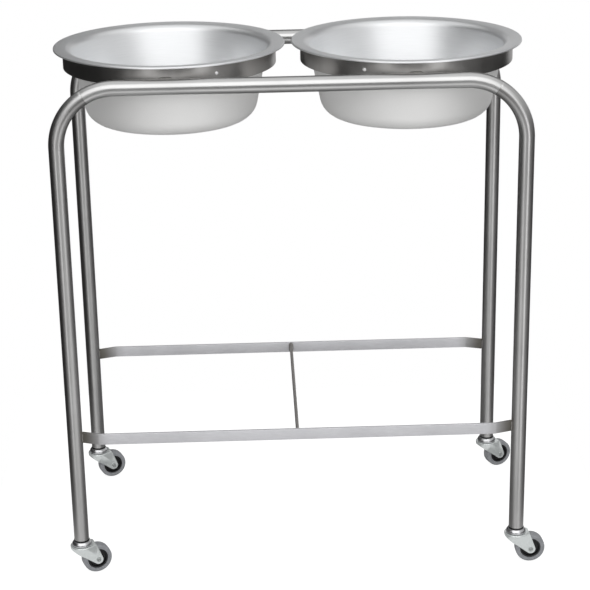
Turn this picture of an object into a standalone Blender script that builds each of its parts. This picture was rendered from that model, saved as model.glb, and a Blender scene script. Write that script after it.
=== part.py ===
"""Double basin stand on swivel casters.

Two inverted-U tube frames stand one behind the other. Two strip hoops between their rails
carry lift-out basins, an H of flat bar braces the legs, and each leg ends in a swivel caster.
Metres, +Z up. The origin is on the floor, midway between the four swivel axes, +X runs to the
right along the rails and +Y to the rear frame.
"""

import math

import bmesh
import bpy
from mathutils import Matrix

MM = 0.001

# Clearances
SEAT_GAP = 0.3 * MM  # between faces that touch or are welded
RUNNING_GAP = 0.3 * MM  # around a pin in its hole
BOSS_SIDE_GAP = 0.5 * MM  # wheel boss to fork cheek
TYRE_SIDE_GAP = 0.8 * MM  # tyre wall to fork cheek
CROWN_WHEEL_GAP = 1.3 * MM  # top of the tyre to the fork's crown
RACE_SKIRT_GAP = 0.8 * MM  # open groove between the race and the crown

# End frames of round tube
TUBE_OD = 25.4 * MM
TUBE_WALL = 1.65 * MM
LEG_SPACING = 749.3 * MM  # left leg to right leg, centre to centre
FRAME_SPACING = 381.0 * MM  # front frame to rear frame, centre to centre
RAIL_HEIGHT = 851.8 * MM  # rail axis above the floor
BEND_RADIUS = 95.25 * MM  # at the tube's centre line
SEAM_ANGLE = math.radians(30)  # how far round the bend the rail reaches before the leg begins

# Hoops of flat strip, rolled to fit between the rails
HOOP_STRIP_HEIGHT = 31.75 * MM
HOOP_STRIP_THICKNESS = 3.2 * MM
HOOP_SPACING = 395.9 * MM  # left basin to right basin, centre to centre
HOOP_DROP = 2.3 * MM  # lower edge of the strip below the rail's axis
HOOP_RIVET_ANGLE = math.radians(27)  # from the front towards the stand's middle
RIVET_HEAD_DIAMETER = 6.0 * MM
RIVET_HEAD_RISE = 1.8 * MM
RIVET_SHANK_DIAMETER = 3.2 * MM
RIVET_TAIL_DIAMETER = 5.0 * MM
RIVET_TAIL_RISE = 1.0 * MM

# Basins of pressed sheet
BASIN_SHEET = 0.9 * MM
BASIN_RIM_DIAMETER = 385.0 * MM
BASIN_BODY_DIAMETER = 330.0 * MM  # outside, where the wall meets the flange
BASIN_DEPTH = 128.0 * MM  # top of the rim to the outside of the floor
BASIN_WALL_DRAFT = math.radians(11.5)
BASIN_FLOOR_CORNER = 33.0 * MM  # outside radius
BASIN_FLANGE_SLOPE = math.radians(4)  # the flange rises outwards
BASIN_FLANGE_BEND = 7.0 * MM  # radius under the flange
BASIN_LIP_DROP = 2.2 * MM  # the turned-down edge of the rim

# H brace of flat bar on edge
BAR_HEIGHT = 19.05 * MM
BAR_THICKNESS = 4.76 * MM
BRACE_HEIGHT = 255.7 * MM  # middle of the bars above the floor
BRACE_END_RUN = 29.0 * MM  # length of each bent end, along X

# Casters: wheel
WHEEL_DIAMETER = 50.8 * MM
TYRE_WIDTH = 20.0 * MM
TYRE_SHOULDER = 3.0 * MM
HUB_DIAMETER = 35.0 * MM
HUB_RIM_WIDTH = 17.0 * MM
HUB_RIM_THICKNESS = 2.2 * MM
HUB_WEB_THICKNESS = 7.0 * MM
HUB_BOSS_DIAMETER = 16.0 * MM
AXLE_DIAMETER = 6.0 * MM
AXLE_HEAD_DIAMETER = 7.6 * MM
AXLE_HEAD_FLAT_DIAMETER = 4.6 * MM
AXLE_HEAD_RISE = 1.8 * MM
AXLE_HEAD_EDGE = 0.6 * MM
BUSH_DIAMETER = 9.6 * MM

# Casters: fork
CASTER_TRAIL = 24.5 * MM  # axle behind the swivel axis
FORK_PLATE = 2.3 * MM
FORK_NOSE_REACH = 18.0 * MM  # rounded front of the cheeks, ahead of the swivel axis
FORK_FRONT_DROP = 4.5 * MM  # depth of the crown's edge at its very front
FORK_REAR_REACH = 21.5 * MM  # top of the trailing edge, behind the swivel axis
FORK_TIP_RADIUS = 8.0 * MM
CROWN_DIAMETER = 40.0 * MM
CROWN_RISE = 0.4 * MM  # ball seat above the fork's plate
CROWN_EDGE = 1.2 * MM  # rounding of the crown's edge
CROWN_NECK_DROP = 21.0 * MM  # where the crown has narrowed into the cheeks, below the plate's top

# Casters: swivel bearing, stem and socket
BALL_DIAMETER = 4.4 * MM
BALL_CIRCLE_DIAMETER = 22.0 * MM
RACE_CAP_THICKNESS = 3.3 * MM
RACE_SKIRT_WALL = 1.6 * MM
RACE_TOP_DIAMETER = 27.0 * MM
RACE_SKIRT_DIAMETER = 34.0 * MM
STEM_DIAMETER = 11.0 * MM
STEM_LENGTH = 38.0 * MM  # above the end of the tube
STEM_HEAD_DIAMETER = 16.0 * MM
STEM_HEAD_HEIGHT = 2.0 * MM
SOCKET_DEPTH = 45.0 * MM
SOCKET_FLANGE_DIAMETER = 26.6 * MM
SOCKET_FLANGE_THICKNESS = 2.2 * MM

# How each caster stands at rest: its trail points to +X, turned this far towards the rear
CASTER_ANGLES = {
    "front_left": math.radians(22),
    "front_right": math.radians(3),
    "rear_left": math.radians(22),
    "rear_right": math.radians(22),
}

# Numbers of facets
TUBE_SIDES = 16
BEND_STEPS = 9  # to a quarter turn
HOOP_SIDES = 48
BASIN_SIDES = 32
BASIN_ARC_STEPS = 4
TYRE_SIDES = 24
CASTER_SIDES = 16
PIN_SIDES = 12
FOLD_STEPS = 3
TIP_STEPS = 6

# Sizes that follow from the ones above
HALF_LEGS = LEG_SPACING / 2
HALF_FRAMES = FRAME_SPACING / 2
TUBE_RADIUS = TUBE_OD / 2
AXLE_HEIGHT = WHEEL_DIAMETER / 2
CROWN_UNDERSIDE = WHEEL_DIAMETER + CROWN_WHEEL_GAP
CROWN_TOP = CROWN_UNDERSIDE + FORK_PLATE
BALL_SEAT = CROWN_TOP + CROWN_RISE
BALL_CENTRE = BALL_SEAT + SEAT_GAP + BALL_DIAMETER / 2
RACE_CEILING = BALL_CENTRE + BALL_DIAMETER / 2 + SEAT_GAP
RACE_TOP = RACE_CEILING + RACE_CAP_THICKNESS
SOCKET_UNDERSIDE = RACE_TOP + SEAT_GAP
TUBE_END = SOCKET_UNDERSIDE + SOCKET_FLANGE_THICKNESS + SEAT_GAP
FORK_INNER = TYRE_WIDTH / 2 + TYRE_SIDE_GAP
FORK_OUTER = FORK_INNER + FORK_PLATE
HOOP_OUTER = HALF_FRAMES - TUBE_RADIUS - SEAT_GAP
HOOP_INNER = HOOP_OUTER - HOOP_STRIP_THICKNESS
HOOP_BOTTOM = RAIL_HEIGHT - HOOP_DROP
HOOP_TOP = HOOP_BOTTOM + HOOP_STRIP_HEIGHT
HOOP_MIDDLE = (HOOP_TOP + HOOP_BOTTOM) / 2
BRACE_BOW = TUBE_RADIUS - BAR_THICKNESS / 2  # bars flush with the outsides of the tubes

CORNERS = {
    "front_left": (-1, -1),
    "front_right": (1, -1),
    "rear_left": (-1, 1),
    "rear_right": (1, 1),
}


def clear_scene():
    for obj in list(bpy.data.objects):
        bpy.data.objects.remove(obj, do_unlink=True)


def finish(name, colour, roughness, metallic):
    """A plain Principled material."""
    material = bpy.data.materials.new(name)
    material.use_nodes = True
    shader = material.node_tree.nodes["Principled BSDF"]
    shader.inputs["Base Color"].default_value = (*colour, 1.0)
    shader.inputs["Roughness"].default_value = roughness
    shader.inputs["Metallic"].default_value = metallic
    return material


def shade(mesh):
    """Smooth shading, but for the real edges."""
    mesh.shade_smooth()
    mesh.set_sharp_from_angle(angle=math.radians(35))


def mesh_from(bm, name, material):
    """Turn a bmesh into a mesh with its faces pointing out."""
    bmesh.ops.recalc_face_normals(bm, faces=bm.faces)
    mesh = bpy.data.meshes.new(name)
    bm.to_mesh(mesh)
    bm.free()
    mesh.materials.append(material)
    shade(mesh)
    return mesh


def place(name, mesh, parent=None, location=(0, 0, 0), rotation=(0, 0, 0)):
    obj = bpy.data.objects.new(name, mesh)
    obj.location = location
    obj.rotation_euler = rotation
    obj.parent = parent
    bpy.context.scene.collection.objects.link(obj)
    return obj


def hole_radius(pin_radius, sides):
    """Radius of a faceted hole whose flats clear a turning pin."""
    return (pin_radius + RUNNING_GAP) / math.cos(math.pi / sides)


def unit(vector):
    length = math.hypot(*vector)
    return vector[0] / length, vector[1] / length


def on_circle(centre, radius, angle):
    return centre[0] + radius * math.cos(angle), centre[1] + radius * math.sin(angle)


def angle_from(centre, point):
    return math.atan2(point[1] - centre[1], point[0] - centre[0])


def offset_chain(points, distance):
    """Shift an open chain of 2-D points sideways, to its left, keeping its corners sharp."""
    directions = [unit((b[0] - a[0], b[1] - a[1])) for a, b in zip(points, points[1:])]
    shifted = []
    for index, point in enumerate(points):
        before = directions[max(index - 1, 0)]
        after = directions[min(index, len(directions) - 1)]
        normal = unit((-before[1] - after[1], before[0] + after[0]))
        stretch = distance / (normal[0] * -before[1] + normal[1] * before[0])
        shifted.append((point[0] + normal[0] * stretch, point[1] + normal[1] * stretch))
    return shifted


def filleted(points, radii, steps):
    """Round the inner corners of an open chain of 2-D points, one radius for each of them."""
    chain = [points[0]]
    for before, corner, after, radius in zip(points, points[1:], points[2:], radii):
        back = unit((before[0] - corner[0], before[1] - corner[1]))
        ahead = unit((after[0] - corner[0], after[1] - corner[1]))
        half = math.acos(back[0] * ahead[0] + back[1] * ahead[1]) / 2
        middle = unit((back[0] + ahead[0], back[1] + ahead[1]))
        reach = radius / math.sin(half)
        cutback = radius / math.tan(half)
        centre = (corner[0] + middle[0] * reach, corner[1] + middle[1] * reach)
        start = angle_from(centre, (corner[0] + back[0] * cutback, corner[1] + back[1] * cutback))
        end = angle_from(centre, (corner[0] + ahead[0] * cutback, corner[1] + ahead[1] * cutback))
        sweep = (end - start + math.pi) % (2 * math.pi) - math.pi
        chain += [on_circle(centre, radius, start + sweep * step / steps) for step in range(steps + 1)]
    chain.append(points[-1])
    return chain


def turned(profile, sides):
    """Spin a profile of (radius, height) points about Z into a closed solid.

    A profile that starts and ends on the axis is open, and any other is joined into a ring.
    """
    bm = bmesh.new()
    verts = [bm.verts.new((radius, 0, height)) for radius, height in profile]
    pairs = list(zip(verts, verts[1:]))
    if profile[0][0] > 0 or profile[-1][0] > 0:
        pairs.append((verts[-1], verts[0]))
    edges = [bm.edges.new(pair) for pair in pairs]
    bmesh.ops.spin(
        bm,
        geom=verts + edges,
        cent=(0, 0, 0),
        axis=(0, 0, 1),
        angle=2 * math.pi,
        steps=sides,
        use_merge=True,
    )
    bmesh.ops.remove_doubles(bm, verts=bm.verts, dist=0.001 * MM)
    return bm


def prism(outline, low, high):
    """Extrude an outline of (x, y) points from height low to height high."""
    bm = bmesh.new()
    face = bm.faces.new([bm.verts.new((x, y, low)) for x, y in outline])
    top = bmesh.ops.extrude_face_region(bm, geom=[face])
    raised = [item for item in top["geom"] if isinstance(item, bmesh.types.BMVert)]
    bmesh.ops.translate(bm, verts=raised, vec=(0, 0, high - low))
    return bm


def circle(radius, sides):
    return [on_circle((0, 0), radius, 2 * math.pi * step / sides) for step in range(sides)]


def tube_end(bm):
    """The ring of faces across a tube's wall, flat at z = 0."""
    rings = []
    for radius in (TUBE_RADIUS, TUBE_RADIUS - TUBE_WALL):
        made = bmesh.ops.create_circle(bm, segments=TUBE_SIDES, radius=radius)
        rings += {edge for vert in made["verts"] for edge in vert.link_edges}
    return bmesh.ops.bridge_loops(bm, edges=rings)["faces"]


def lengthen(bm, faces, length):
    """Pull a tube's end out along Z, and return the faces of the new end."""
    pulled = bmesh.ops.extrude_face_region(bm, geom=faces)["geom"]
    verts = [item for item in pulled if isinstance(item, bmesh.types.BMVert)]
    bmesh.ops.translate(bm, verts=verts, vec=(0, 0, length))
    return [item for item in pulled if isinstance(item, bmesh.types.BMFace)]


def bend(bm, faces, height, angle):
    """Carry a tube's end, at this height, round a bend towards +X."""
    edges = {edge for face in faces for edge in face.edges}
    verts = {vert for face in faces for vert in face.verts}
    bmesh.ops.spin(
        bm,
        geom=[*verts, *edges, *faces],
        cent=(BEND_RADIUS, 0, height),
        axis=(0, 1, 0),
        angle=angle,
        steps=math.ceil(BEND_STEPS * abs(angle) / (math.pi / 2)),
    )


def leg_mesh(material):
    """A leg along Z from its open end at z = 0, bending towards +X as far as the seam."""
    bm = bmesh.new()
    straight = RAIL_HEIGHT - BEND_RADIUS - TUBE_END
    top = lengthen(bm, tube_end(bm), straight)
    half_gap = SEAT_GAP / 2 / BEND_RADIUS
    bend(bm, top, straight, math.pi / 2 - SEAM_ANGLE - half_gap)
    return mesh_from(bm, "leg", material)


def rail_mesh(material):
    """A rail along Z, centred on z = 0, with both ends bent towards +X as far as the seams."""
    bm = bmesh.new()
    half = HALF_LEGS - BEND_RADIUS
    low = tube_end(bm)
    bmesh.ops.translate(bm, verts=bm.verts, vec=(0, 0, -half))
    high = lengthen(bm, low, 2 * half)
    turn = SEAM_ANGLE - SEAT_GAP / 2 / BEND_RADIUS
    bend(bm, high, half, turn)
    low = [face for face in bm.faces if abs(face.calc_center_median().z + half) < 0.01 * MM]
    bend(bm, low, -half, -turn)
    return mesh_from(bm, "rail", material)


def add_end_frames(material):
    """Two rails, and four legs that carry on from their bent ends."""
    rail = rail_mesh(material)
    leg = leg_mesh(material)
    for row, side in (("front", -1), ("rear", 1)):
        # The mesh's Z turns to lie along X, and its +X hangs down
        place(f"{row}_rail", rail, None, (0, side * HALF_FRAMES, RAIL_HEIGHT), (0, math.pi / 2, 0))
    for corner, (x, y) in CORNERS.items():
        inwards = 0 if x < 0 else math.pi
        place(f"{corner}_leg", leg, None, (x * HALF_LEGS, y * HALF_FRAMES, TUBE_END), (0, 0, inwards))


def cut(mesh, cutters, operation="DIFFERENCE"):
    """Apply Boolean modifiers to a mesh, one for each cutter mesh, and return the result."""
    obj = place("work", mesh)
    tools = []
    for cutter in cutters:
        tool = place("tool", cutter)
        tool.hide_render = True
        tool.display_type = "WIRE"
        modifier = obj.modifiers.new("cut", "BOOLEAN")
        modifier.operation = operation
        modifier.solver = "EXACT"
        modifier.object = tool
        tools.append(tool)
    evaluated = obj.evaluated_get(bpy.context.evaluated_depsgraph_get())
    result = bpy.data.meshes.new_from_object(evaluated)
    shade(result)
    for spent in [obj, *tools]:
        bpy.data.objects.remove(spent, do_unlink=True)
    return result


def drill(radius, length, axis, centre, material):
    """A round cutter along the Y or Z axis, about its centre."""
    bm = prism(circle(radius, PIN_SIDES), -length / 2, length / 2)
    if axis == "Y":
        bmesh.ops.rotate(bm, verts=bm.verts, matrix=Matrix.Rotation(math.pi / 2, 3, "X"))
    bmesh.ops.translate(bm, verts=bm.verts, vec=centre)
    return mesh_from(bm, "drill", material)


def hoop_mesh(material):
    """A rolled strip with a flat facet at -Y, bored there for its rivet."""
    section = [
        (HOOP_OUTER, HOOP_TOP),
        (HOOP_OUTER, HOOP_BOTTOM),
        (HOOP_INNER, HOOP_BOTTOM),
        (HOOP_INNER, HOOP_TOP),
    ]
    strip = turned(section, HOOP_SIDES)
    bmesh.ops.rotate(strip, verts=strip.verts, matrix=Matrix.Rotation(math.pi / HOOP_SIDES, 3, "Z"))
    radius = hole_radius(RIVET_SHANK_DIAMETER / 2, PIN_SIDES)
    bore = drill(radius, 8 * HOOP_STRIP_THICKNESS, "Y", (0, -HOOP_OUTER, HOOP_MIDDLE), material)
    return cut(mesh_from(strip, "hoop", material), [bore])


def add_hoops(material, rivet_material):
    """Two hoops, each turned to bring its dome rivet to the front, nearer the stand's middle."""
    hoop = hoop_mesh(material)
    rivet = rivet_mesh(rivet_material)
    facet = HOOP_OUTER * math.cos(math.pi / HOOP_SIDES)
    for name, side in (("left", -1), ("right", 1)):
        turn = (0, 0, -side * HOOP_RIVET_ANGLE)
        strip = place(f"{name}_hoop", hoop, None, (side * HOOP_SPACING / 2, 0, 0), turn)
        place(f"{name}_hoop_rivet", rivet, strip, (0, -facet, HOOP_MIDDLE), (math.pi / 2, 0, 0))


def rivet_mesh(material):
    """A rivet along Z: the dome outside z = 0, the shank and the set tail below it."""
    head = RIVET_HEAD_DIAMETER / 2
    shank = RIVET_SHANK_DIAMETER / 2
    tail = RIVET_TAIL_DIAMETER / 2
    tail_top = -HOOP_STRIP_THICKNESS - SEAT_GAP
    dome = []
    for step in range(FOLD_STEPS + 1):
        angle = math.pi / 2 * (1 - step / FOLD_STEPS)
        dome.append((head * math.cos(angle), SEAT_GAP + RIVET_HEAD_RISE * math.sin(angle)))
    dome[0] = (0, SEAT_GAP + RIVET_HEAD_RISE)
    profile = dome + [
        (shank, SEAT_GAP),
        (shank, tail_top),
        (tail, tail_top),
        (tail, tail_top - RIVET_TAIL_RISE),
        (0, tail_top - RIVET_TAIL_RISE),
    ]
    return mesh_from(turned(profile, PIN_SIDES), "hoop_rivet", material)


def basin_mesh(material):
    """A pressed bowl. Its z = 0 is where the flange's underside meets the hoop's inner edge."""
    rise = math.tan(BASIN_FLANGE_SLOPE)
    rim = BASIN_RIM_DIAMETER / 2
    body = BASIN_BODY_DIAMETER / 2
    edge = rim - BASIN_SHEET
    top = (edge - HOOP_INNER) * rise + BASIN_SHEET / math.cos(BASIN_FLANGE_SLOPE)
    floor = top - BASIN_DEPTH
    flange_corner = (body, (body - HOOP_INNER) * rise)
    floor_corner = (body - math.tan(BASIN_WALL_DRAFT) * (flange_corner[1] - floor), floor)
    outside = [(0, floor), floor_corner, flange_corner, (edge, (edge - HOOP_INNER) * rise)]
    inside = offset_chain(outside, BASIN_SHEET)
    radii_out = (BASIN_FLOOR_CORNER, BASIN_FLANGE_BEND)
    radii_in = (BASIN_FLOOR_CORNER - BASIN_SHEET, BASIN_FLANGE_BEND + BASIN_SHEET)
    lip = [
        (edge, top - BASIN_LIP_DROP),
        (rim, top - BASIN_LIP_DROP),
        (rim, top - BASIN_SHEET / 2),
        (rim - BASIN_SHEET / 2, top),
    ]
    profile = filleted(outside, radii_out, BASIN_ARC_STEPS) + lip
    profile += list(reversed(filleted(inside, radii_in, BASIN_ARC_STEPS)[:-1]))
    return mesh_from(turned(profile, BASIN_SIDES), "basin", material)


def add_basins(material):
    """The basins hang by their flanges on the hoops' upper edges, and lift straight out."""
    basin = basin_mesh(material)
    for name, side in (("left", -1), ("right", 1)):
        place(f"{name}_basin", basin, None, (side * HOOP_SPACING / 2, 0, HOOP_TOP + SEAT_GAP))


def add_brace(material):
    """Two bars, bowed out flush with the tubes and bent in to the legs, and a strut between."""
    low = BRACE_HEIGHT - BAR_HEIGHT / 2
    high = BRACE_HEIGHT + BAR_HEIGHT / 2
    end = HALF_LEGS - TUBE_RADIUS - SEAT_GAP
    knee = end - BRACE_END_RUN
    slant = math.atan2(BRACE_BOW, BRACE_END_RUN)
    half = BAR_THICKNESS / 2
    mitre = half * math.tan(slant / 2)
    end_half = half / math.cos(slant)
    outer_face = BRACE_BOW + half
    inner_face = BRACE_BOW - half
    outer_side = [(-knee - mitre, outer_face), (knee + mitre, outer_face)]
    inner_side = [(knee - mitre, inner_face), (-knee + mitre, inner_face)]
    right_end = [(end, end_half), (end, -end_half)]
    left_end = [(-end, -end_half), (-end, end_half)]
    outline = outer_side + right_end + inner_side + left_end
    bar = mesh_from(prism(outline, low, high), "brace_bar", material)
    place("rear_brace_bar", bar, None, (0, HALF_FRAMES, 0))
    place("front_brace_bar", bar, None, (0, -HALF_FRAMES, 0), (0, 0, math.pi))
    reach = HALF_FRAMES + inner_face - SEAT_GAP
    strut_outline = [(-half, -reach), (half, -reach), (half, reach), (-half, reach)]
    strut = mesh_from(prism(strut_outline, low, high), "brace_strut", material)
    place("brace_strut", strut)


def tangent_angle(point, centre, radius, turn):
    """The angle on a circle where a line from a point touches it, on the side that turn gives."""
    return angle_from(centre, point) + turn * math.acos(radius / math.dist(centre, point))


def nose_outline(half_width, front, rear):
    """A plan outline with straight sides, a square rear end and a half-round front."""
    centre = (front + half_width, 0)
    outline = [(rear, half_width)]
    for step in range(2 * TIP_STEPS + 1):
        outline.append(on_circle(centre, half_width, math.pi / 2 * (1 + step / TIP_STEPS)))
    outline.append((rear, -half_width))
    return outline


def cheek_outline(front, above):
    """The fork from the side, in (x, z): front edge, round tip at the axle and rear edge."""
    tip = (CASTER_TRAIL, AXLE_HEIGHT)
    front_corner = (front, CROWN_TOP - FORK_FRONT_DROP)
    rear_corner = (FORK_REAR_REACH, above)
    start = tangent_angle(front_corner, tip, FORK_TIP_RADIUS, 1)
    end = tangent_angle(rear_corner, tip, FORK_TIP_RADIUS, -1)
    sweep = (end - start) % (2 * math.pi)
    outline = [rear_corner, (front, above), front_corner]
    for step in range(TIP_STEPS + 1):
        outline.append(on_circle(tip, FORK_TIP_RADIUS, start + sweep * step / TIP_STEPS))
    return outline


def hull(*rings):
    """The convex solid round several rings of points."""
    bm = bmesh.new()
    for ring, height in rings:
        for x, y in ring:
            bm.verts.new((x, y, height))
    result = bmesh.ops.convex_hull(bm, input=bm.verts)
    spare = {*result["geom_interior"], *result["geom_unused"]}
    bmesh.ops.delete(bm, geom=[item for item in spare if isinstance(item, bmesh.types.BMVert)])
    return bm


def fork_mesh(material):
    """A pressed fork: a round crown that narrows into two cheeks, hollow below for the wheel."""
    bottom = AXLE_HEIGHT - 2 * FORK_TIP_RADIUS
    rear = CASTER_TRAIL + 2 * FORK_TIP_RADIUS
    neck = CROWN_TOP - CROWN_NECK_DROP
    radius = CROWN_DIAMETER / 2
    corners = [(FORK_REAR_REACH, side * FORK_OUTER) for side in (-1, 1)]
    inset_corners = [(FORK_REAR_REACH, side * (FORK_OUTER - CROWN_EDGE)) for side in (-1, 1)]
    cheeks_plan = nose_outline(FORK_OUTER, -FORK_NOSE_REACH, rear)
    crown = hull(
        (circle(radius - CROWN_EDGE, CASTER_SIDES), BALL_SEAT),
        (circle(radius, CASTER_SIDES), BALL_SEAT - CROWN_EDGE),
        (circle(radius, CASTER_SIDES), CROWN_UNDERSIDE),
        (inset_corners, CROWN_TOP),
        (corners, CROWN_TOP - CROWN_EDGE),
        (nose_outline(FORK_OUTER, -FORK_NOSE_REACH, FORK_REAR_REACH), neck),
    )
    cheeks = prism(cheeks_plan, bottom, CROWN_TOP - CROWN_EDGE)

    front = -radius - SEAT_GAP
    above = BALL_SEAT + FORK_PLATE
    trim = prism(cheek_outline(front, above), -CROWN_DIAMETER, CROWN_DIAMETER)
    # The outline's y and the extrusion's z become the fork's z and y
    for vert in trim.verts:
        vert.co = (vert.co.x, vert.co.z, vert.co.y)

    inner_nose = -FORK_NOSE_REACH + FORK_PLATE
    inner_corners = [(FORK_REAR_REACH, side * FORK_INNER) for side in (-1, 1)]
    crown_hollow = hull(
        (circle(radius - FORK_PLATE, CASTER_SIDES), CROWN_UNDERSIDE),
        (inner_corners, CROWN_UNDERSIDE),
        (nose_outline(FORK_INNER, inner_nose, FORK_REAR_REACH), neck - SEAT_GAP),
    )
    # The well for the wheel runs out at the rear, up to the crown
    well_plan = nose_outline(FORK_INNER, inner_nose, 2 * rear)
    stem_bore = hole_radius(STEM_DIAMETER / 2, PIN_SIDES)
    axle_bore = hole_radius(AXLE_DIAMETER / 2, PIN_SIDES)
    hollows = [
        mesh_from(prism(well_plan, bottom - FORK_PLATE, CROWN_UNDERSIDE), "well", material),
        mesh_from(crown_hollow, "crown_hollow", material),
        drill(stem_bore, 8 * FORK_PLATE, "Z", (0, 0, CROWN_TOP), material),
        drill(axle_bore, 4 * FORK_OUTER, "Y", (CASTER_TRAIL, 0, AXLE_HEIGHT), material),
    ]
    blank = cut(mesh_from(crown, "crown", material), [mesh_from(cheeks, "cheeks", material)], "UNION")
    trimmed = cut(blank, [mesh_from(trim, "trim", material)], "INTERSECT")
    return cut(trimmed, hollows)


def axle_mesh(material):
    """A rivet through both cheeks, along Z, with low domed heads."""
    shank = AXLE_DIAMETER / 2
    head = AXLE_HEAD_DIAMETER / 2
    seat = FORK_OUTER + SEAT_GAP
    end = seat + AXLE_HEAD_RISE
    flat = AXLE_HEAD_FLAT_DIAMETER / 2
    half = [(0, end), (flat, end), (head, seat + AXLE_HEAD_EDGE), (head, seat), (shank, seat)]
    profile = half + [(radius, -height) for radius, height in reversed(half)]
    return mesh_from(turned(profile, PIN_SIDES), "axle", material)


def bush_mesh(material):
    """The spacer tube between the cheeks, on which the wheel turns."""
    inner = hole_radius(AXLE_DIAMETER / 2, PIN_SIDES)
    outer = BUSH_DIAMETER / 2
    half = FORK_INNER - SEAT_GAP
    profile = [(outer, half), (outer, -half), (inner, -half), (inner, half)]
    return mesh_from(turned(profile, PIN_SIDES), "bush", material)


def hub_mesh(material):
    """A moulded hub: boss, web and rim."""
    bore = hole_radius(BUSH_DIAMETER / 2, CASTER_SIDES)
    boss = HUB_BOSS_DIAMETER / 2
    rim = HUB_DIAMETER / 2
    rim_inner = rim - HUB_RIM_THICKNESS
    boss_half = FORK_INNER - BOSS_SIDE_GAP
    web = HUB_WEB_THICKNESS / 2
    half = [
        (rim, HUB_RIM_WIDTH / 2),
        (rim_inner, HUB_RIM_WIDTH / 2),
        (rim_inner, web),
        (boss, web),
        (boss, boss_half),
        (bore, boss_half),
    ]
    profile = half + [(radius, -height) for radius, height in reversed(half)]
    return mesh_from(turned(list(reversed(profile)), CASTER_SIDES), "hub", material)


def tyre_mesh(material):
    """A rubber ring with rounded shoulders."""
    inner = (HUB_DIAMETER / 2 + SEAT_GAP) / math.cos(math.pi / TYRE_SIDES)
    outer = WHEEL_DIAMETER / 2
    half = TYRE_WIDTH / 2
    corner = [(inner, half), (outer, half), (outer, -half), (inner, -half)]
    profile = filleted(corner, (TYRE_SHOULDER, TYRE_SHOULDER), FOLD_STEPS - 1)
    return mesh_from(turned(profile, TYRE_SIDES), "tyre", material)


def ball_ring_mesh(material):
    """The ring of bearing balls, as one torus."""
    ball = BALL_DIAMETER / 2
    ring = [(BALL_CIRCLE_DIAMETER / 2 + x, BALL_CENTRE - y) for x, y in circle(ball, TIP_STEPS)]
    return mesh_from(turned(ring, CASTER_SIDES), "ball_ring", material)


def race_mesh(material):
    """The domed cup over the balls, fixed to the stem."""
    bore = hole_radius(STEM_DIAMETER / 2, CASTER_SIDES)
    skirt = RACE_SKIRT_DIAMETER / 2
    hollow = skirt - RACE_SKIRT_WALL
    foot = BALL_SEAT + RACE_SKIRT_GAP
    profile = [
        (bore, RACE_TOP),
        (RACE_TOP_DIAMETER / 2, RACE_TOP),
        (skirt, RACE_CEILING - BALL_DIAMETER / 2),
        (skirt, foot),
        (hollow, foot),
        (hollow, RACE_CEILING),
        (bore, RACE_CEILING),
    ]
    return mesh_from(turned(profile, CASTER_SIDES), "race", material)


def stem_mesh(material):
    """The swivel stem, headed under the fork's crown."""
    shank = STEM_DIAMETER / 2
    head = STEM_HEAD_DIAMETER / 2
    seat = CROWN_UNDERSIDE - SEAT_GAP
    top = TUBE_END + STEM_LENGTH
    profile = [
        (0, top),
        (shank, top),
        (shank, seat),
        (head, seat),
        (head, seat - STEM_HEAD_HEIGHT),
        (0, seat - STEM_HEAD_HEIGHT),
    ]
    return mesh_from(turned(profile, PIN_SIDES), "stem", material)


def socket_mesh(material):
    """The sleeve in the tube's end that grips the stem, with a ring that shows below the tube."""
    bore = hole_radius(STEM_DIAMETER / 2, TUBE_SIDES)
    sleeve = TUBE_RADIUS - TUBE_WALL - SEAT_GAP
    flange = SOCKET_FLANGE_DIAMETER / 2
    flange_top = SOCKET_UNDERSIDE + SOCKET_FLANGE_THICKNESS
    profile = [
        (bore, TUBE_END + SOCKET_DEPTH),
        (sleeve, TUBE_END + SOCKET_DEPTH),
        (sleeve, flange_top),
        (flange, flange_top),
        (flange, SOCKET_UNDERSIDE),
        (bore, SOCKET_UNDERSIDE),
    ]
    return mesh_from(turned(profile, TUBE_SIDES), "socket", material)


def empty(name, parent, location, rotation):
    axis = place(name, None, parent, location, rotation)
    axis.empty_display_size = WHEEL_DIAMETER / 2
    return axis


def add_casters(steel, zinc, chrome, black, rubber):
    """Four casters that share their meshes, each on empties at its swivel axis and its axle."""
    fixed = {"socket": socket_mesh(black), "stem": stem_mesh(steel), "race": race_mesh(chrome)}
    swivelling = {"ball_ring": ball_ring_mesh(steel), "fork": fork_mesh(zinc)}
    on_axle = {"axle": axle_mesh(zinc), "bush": bush_mesh(steel)}
    rolling = {"hub": hub_mesh(black), "tyre": tyre_mesh(rubber)}
    for corner, (x, y) in CORNERS.items():
        foot = (x * HALF_LEGS, y * HALF_FRAMES, 0)
        swivel = empty(f"{corner}_swivel_axis", None, foot, (0, 0, CASTER_ANGLES[corner]))
        wheel = empty(
            f"{corner}_wheel_axis", swivel, (CASTER_TRAIL, 0, AXLE_HEIGHT), (math.pi / 2, 0, 0)
        )
        for piece, mesh in fixed.items():
            place(f"{corner}_{piece}", mesh, None, foot)
        for piece, mesh in swivelling.items():
            place(f"{corner}_{piece}", mesh, swivel)
        for piece, mesh in {**on_axle, **rolling}.items():
            place(f"{corner}_{piece}", mesh, wheel)


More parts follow.
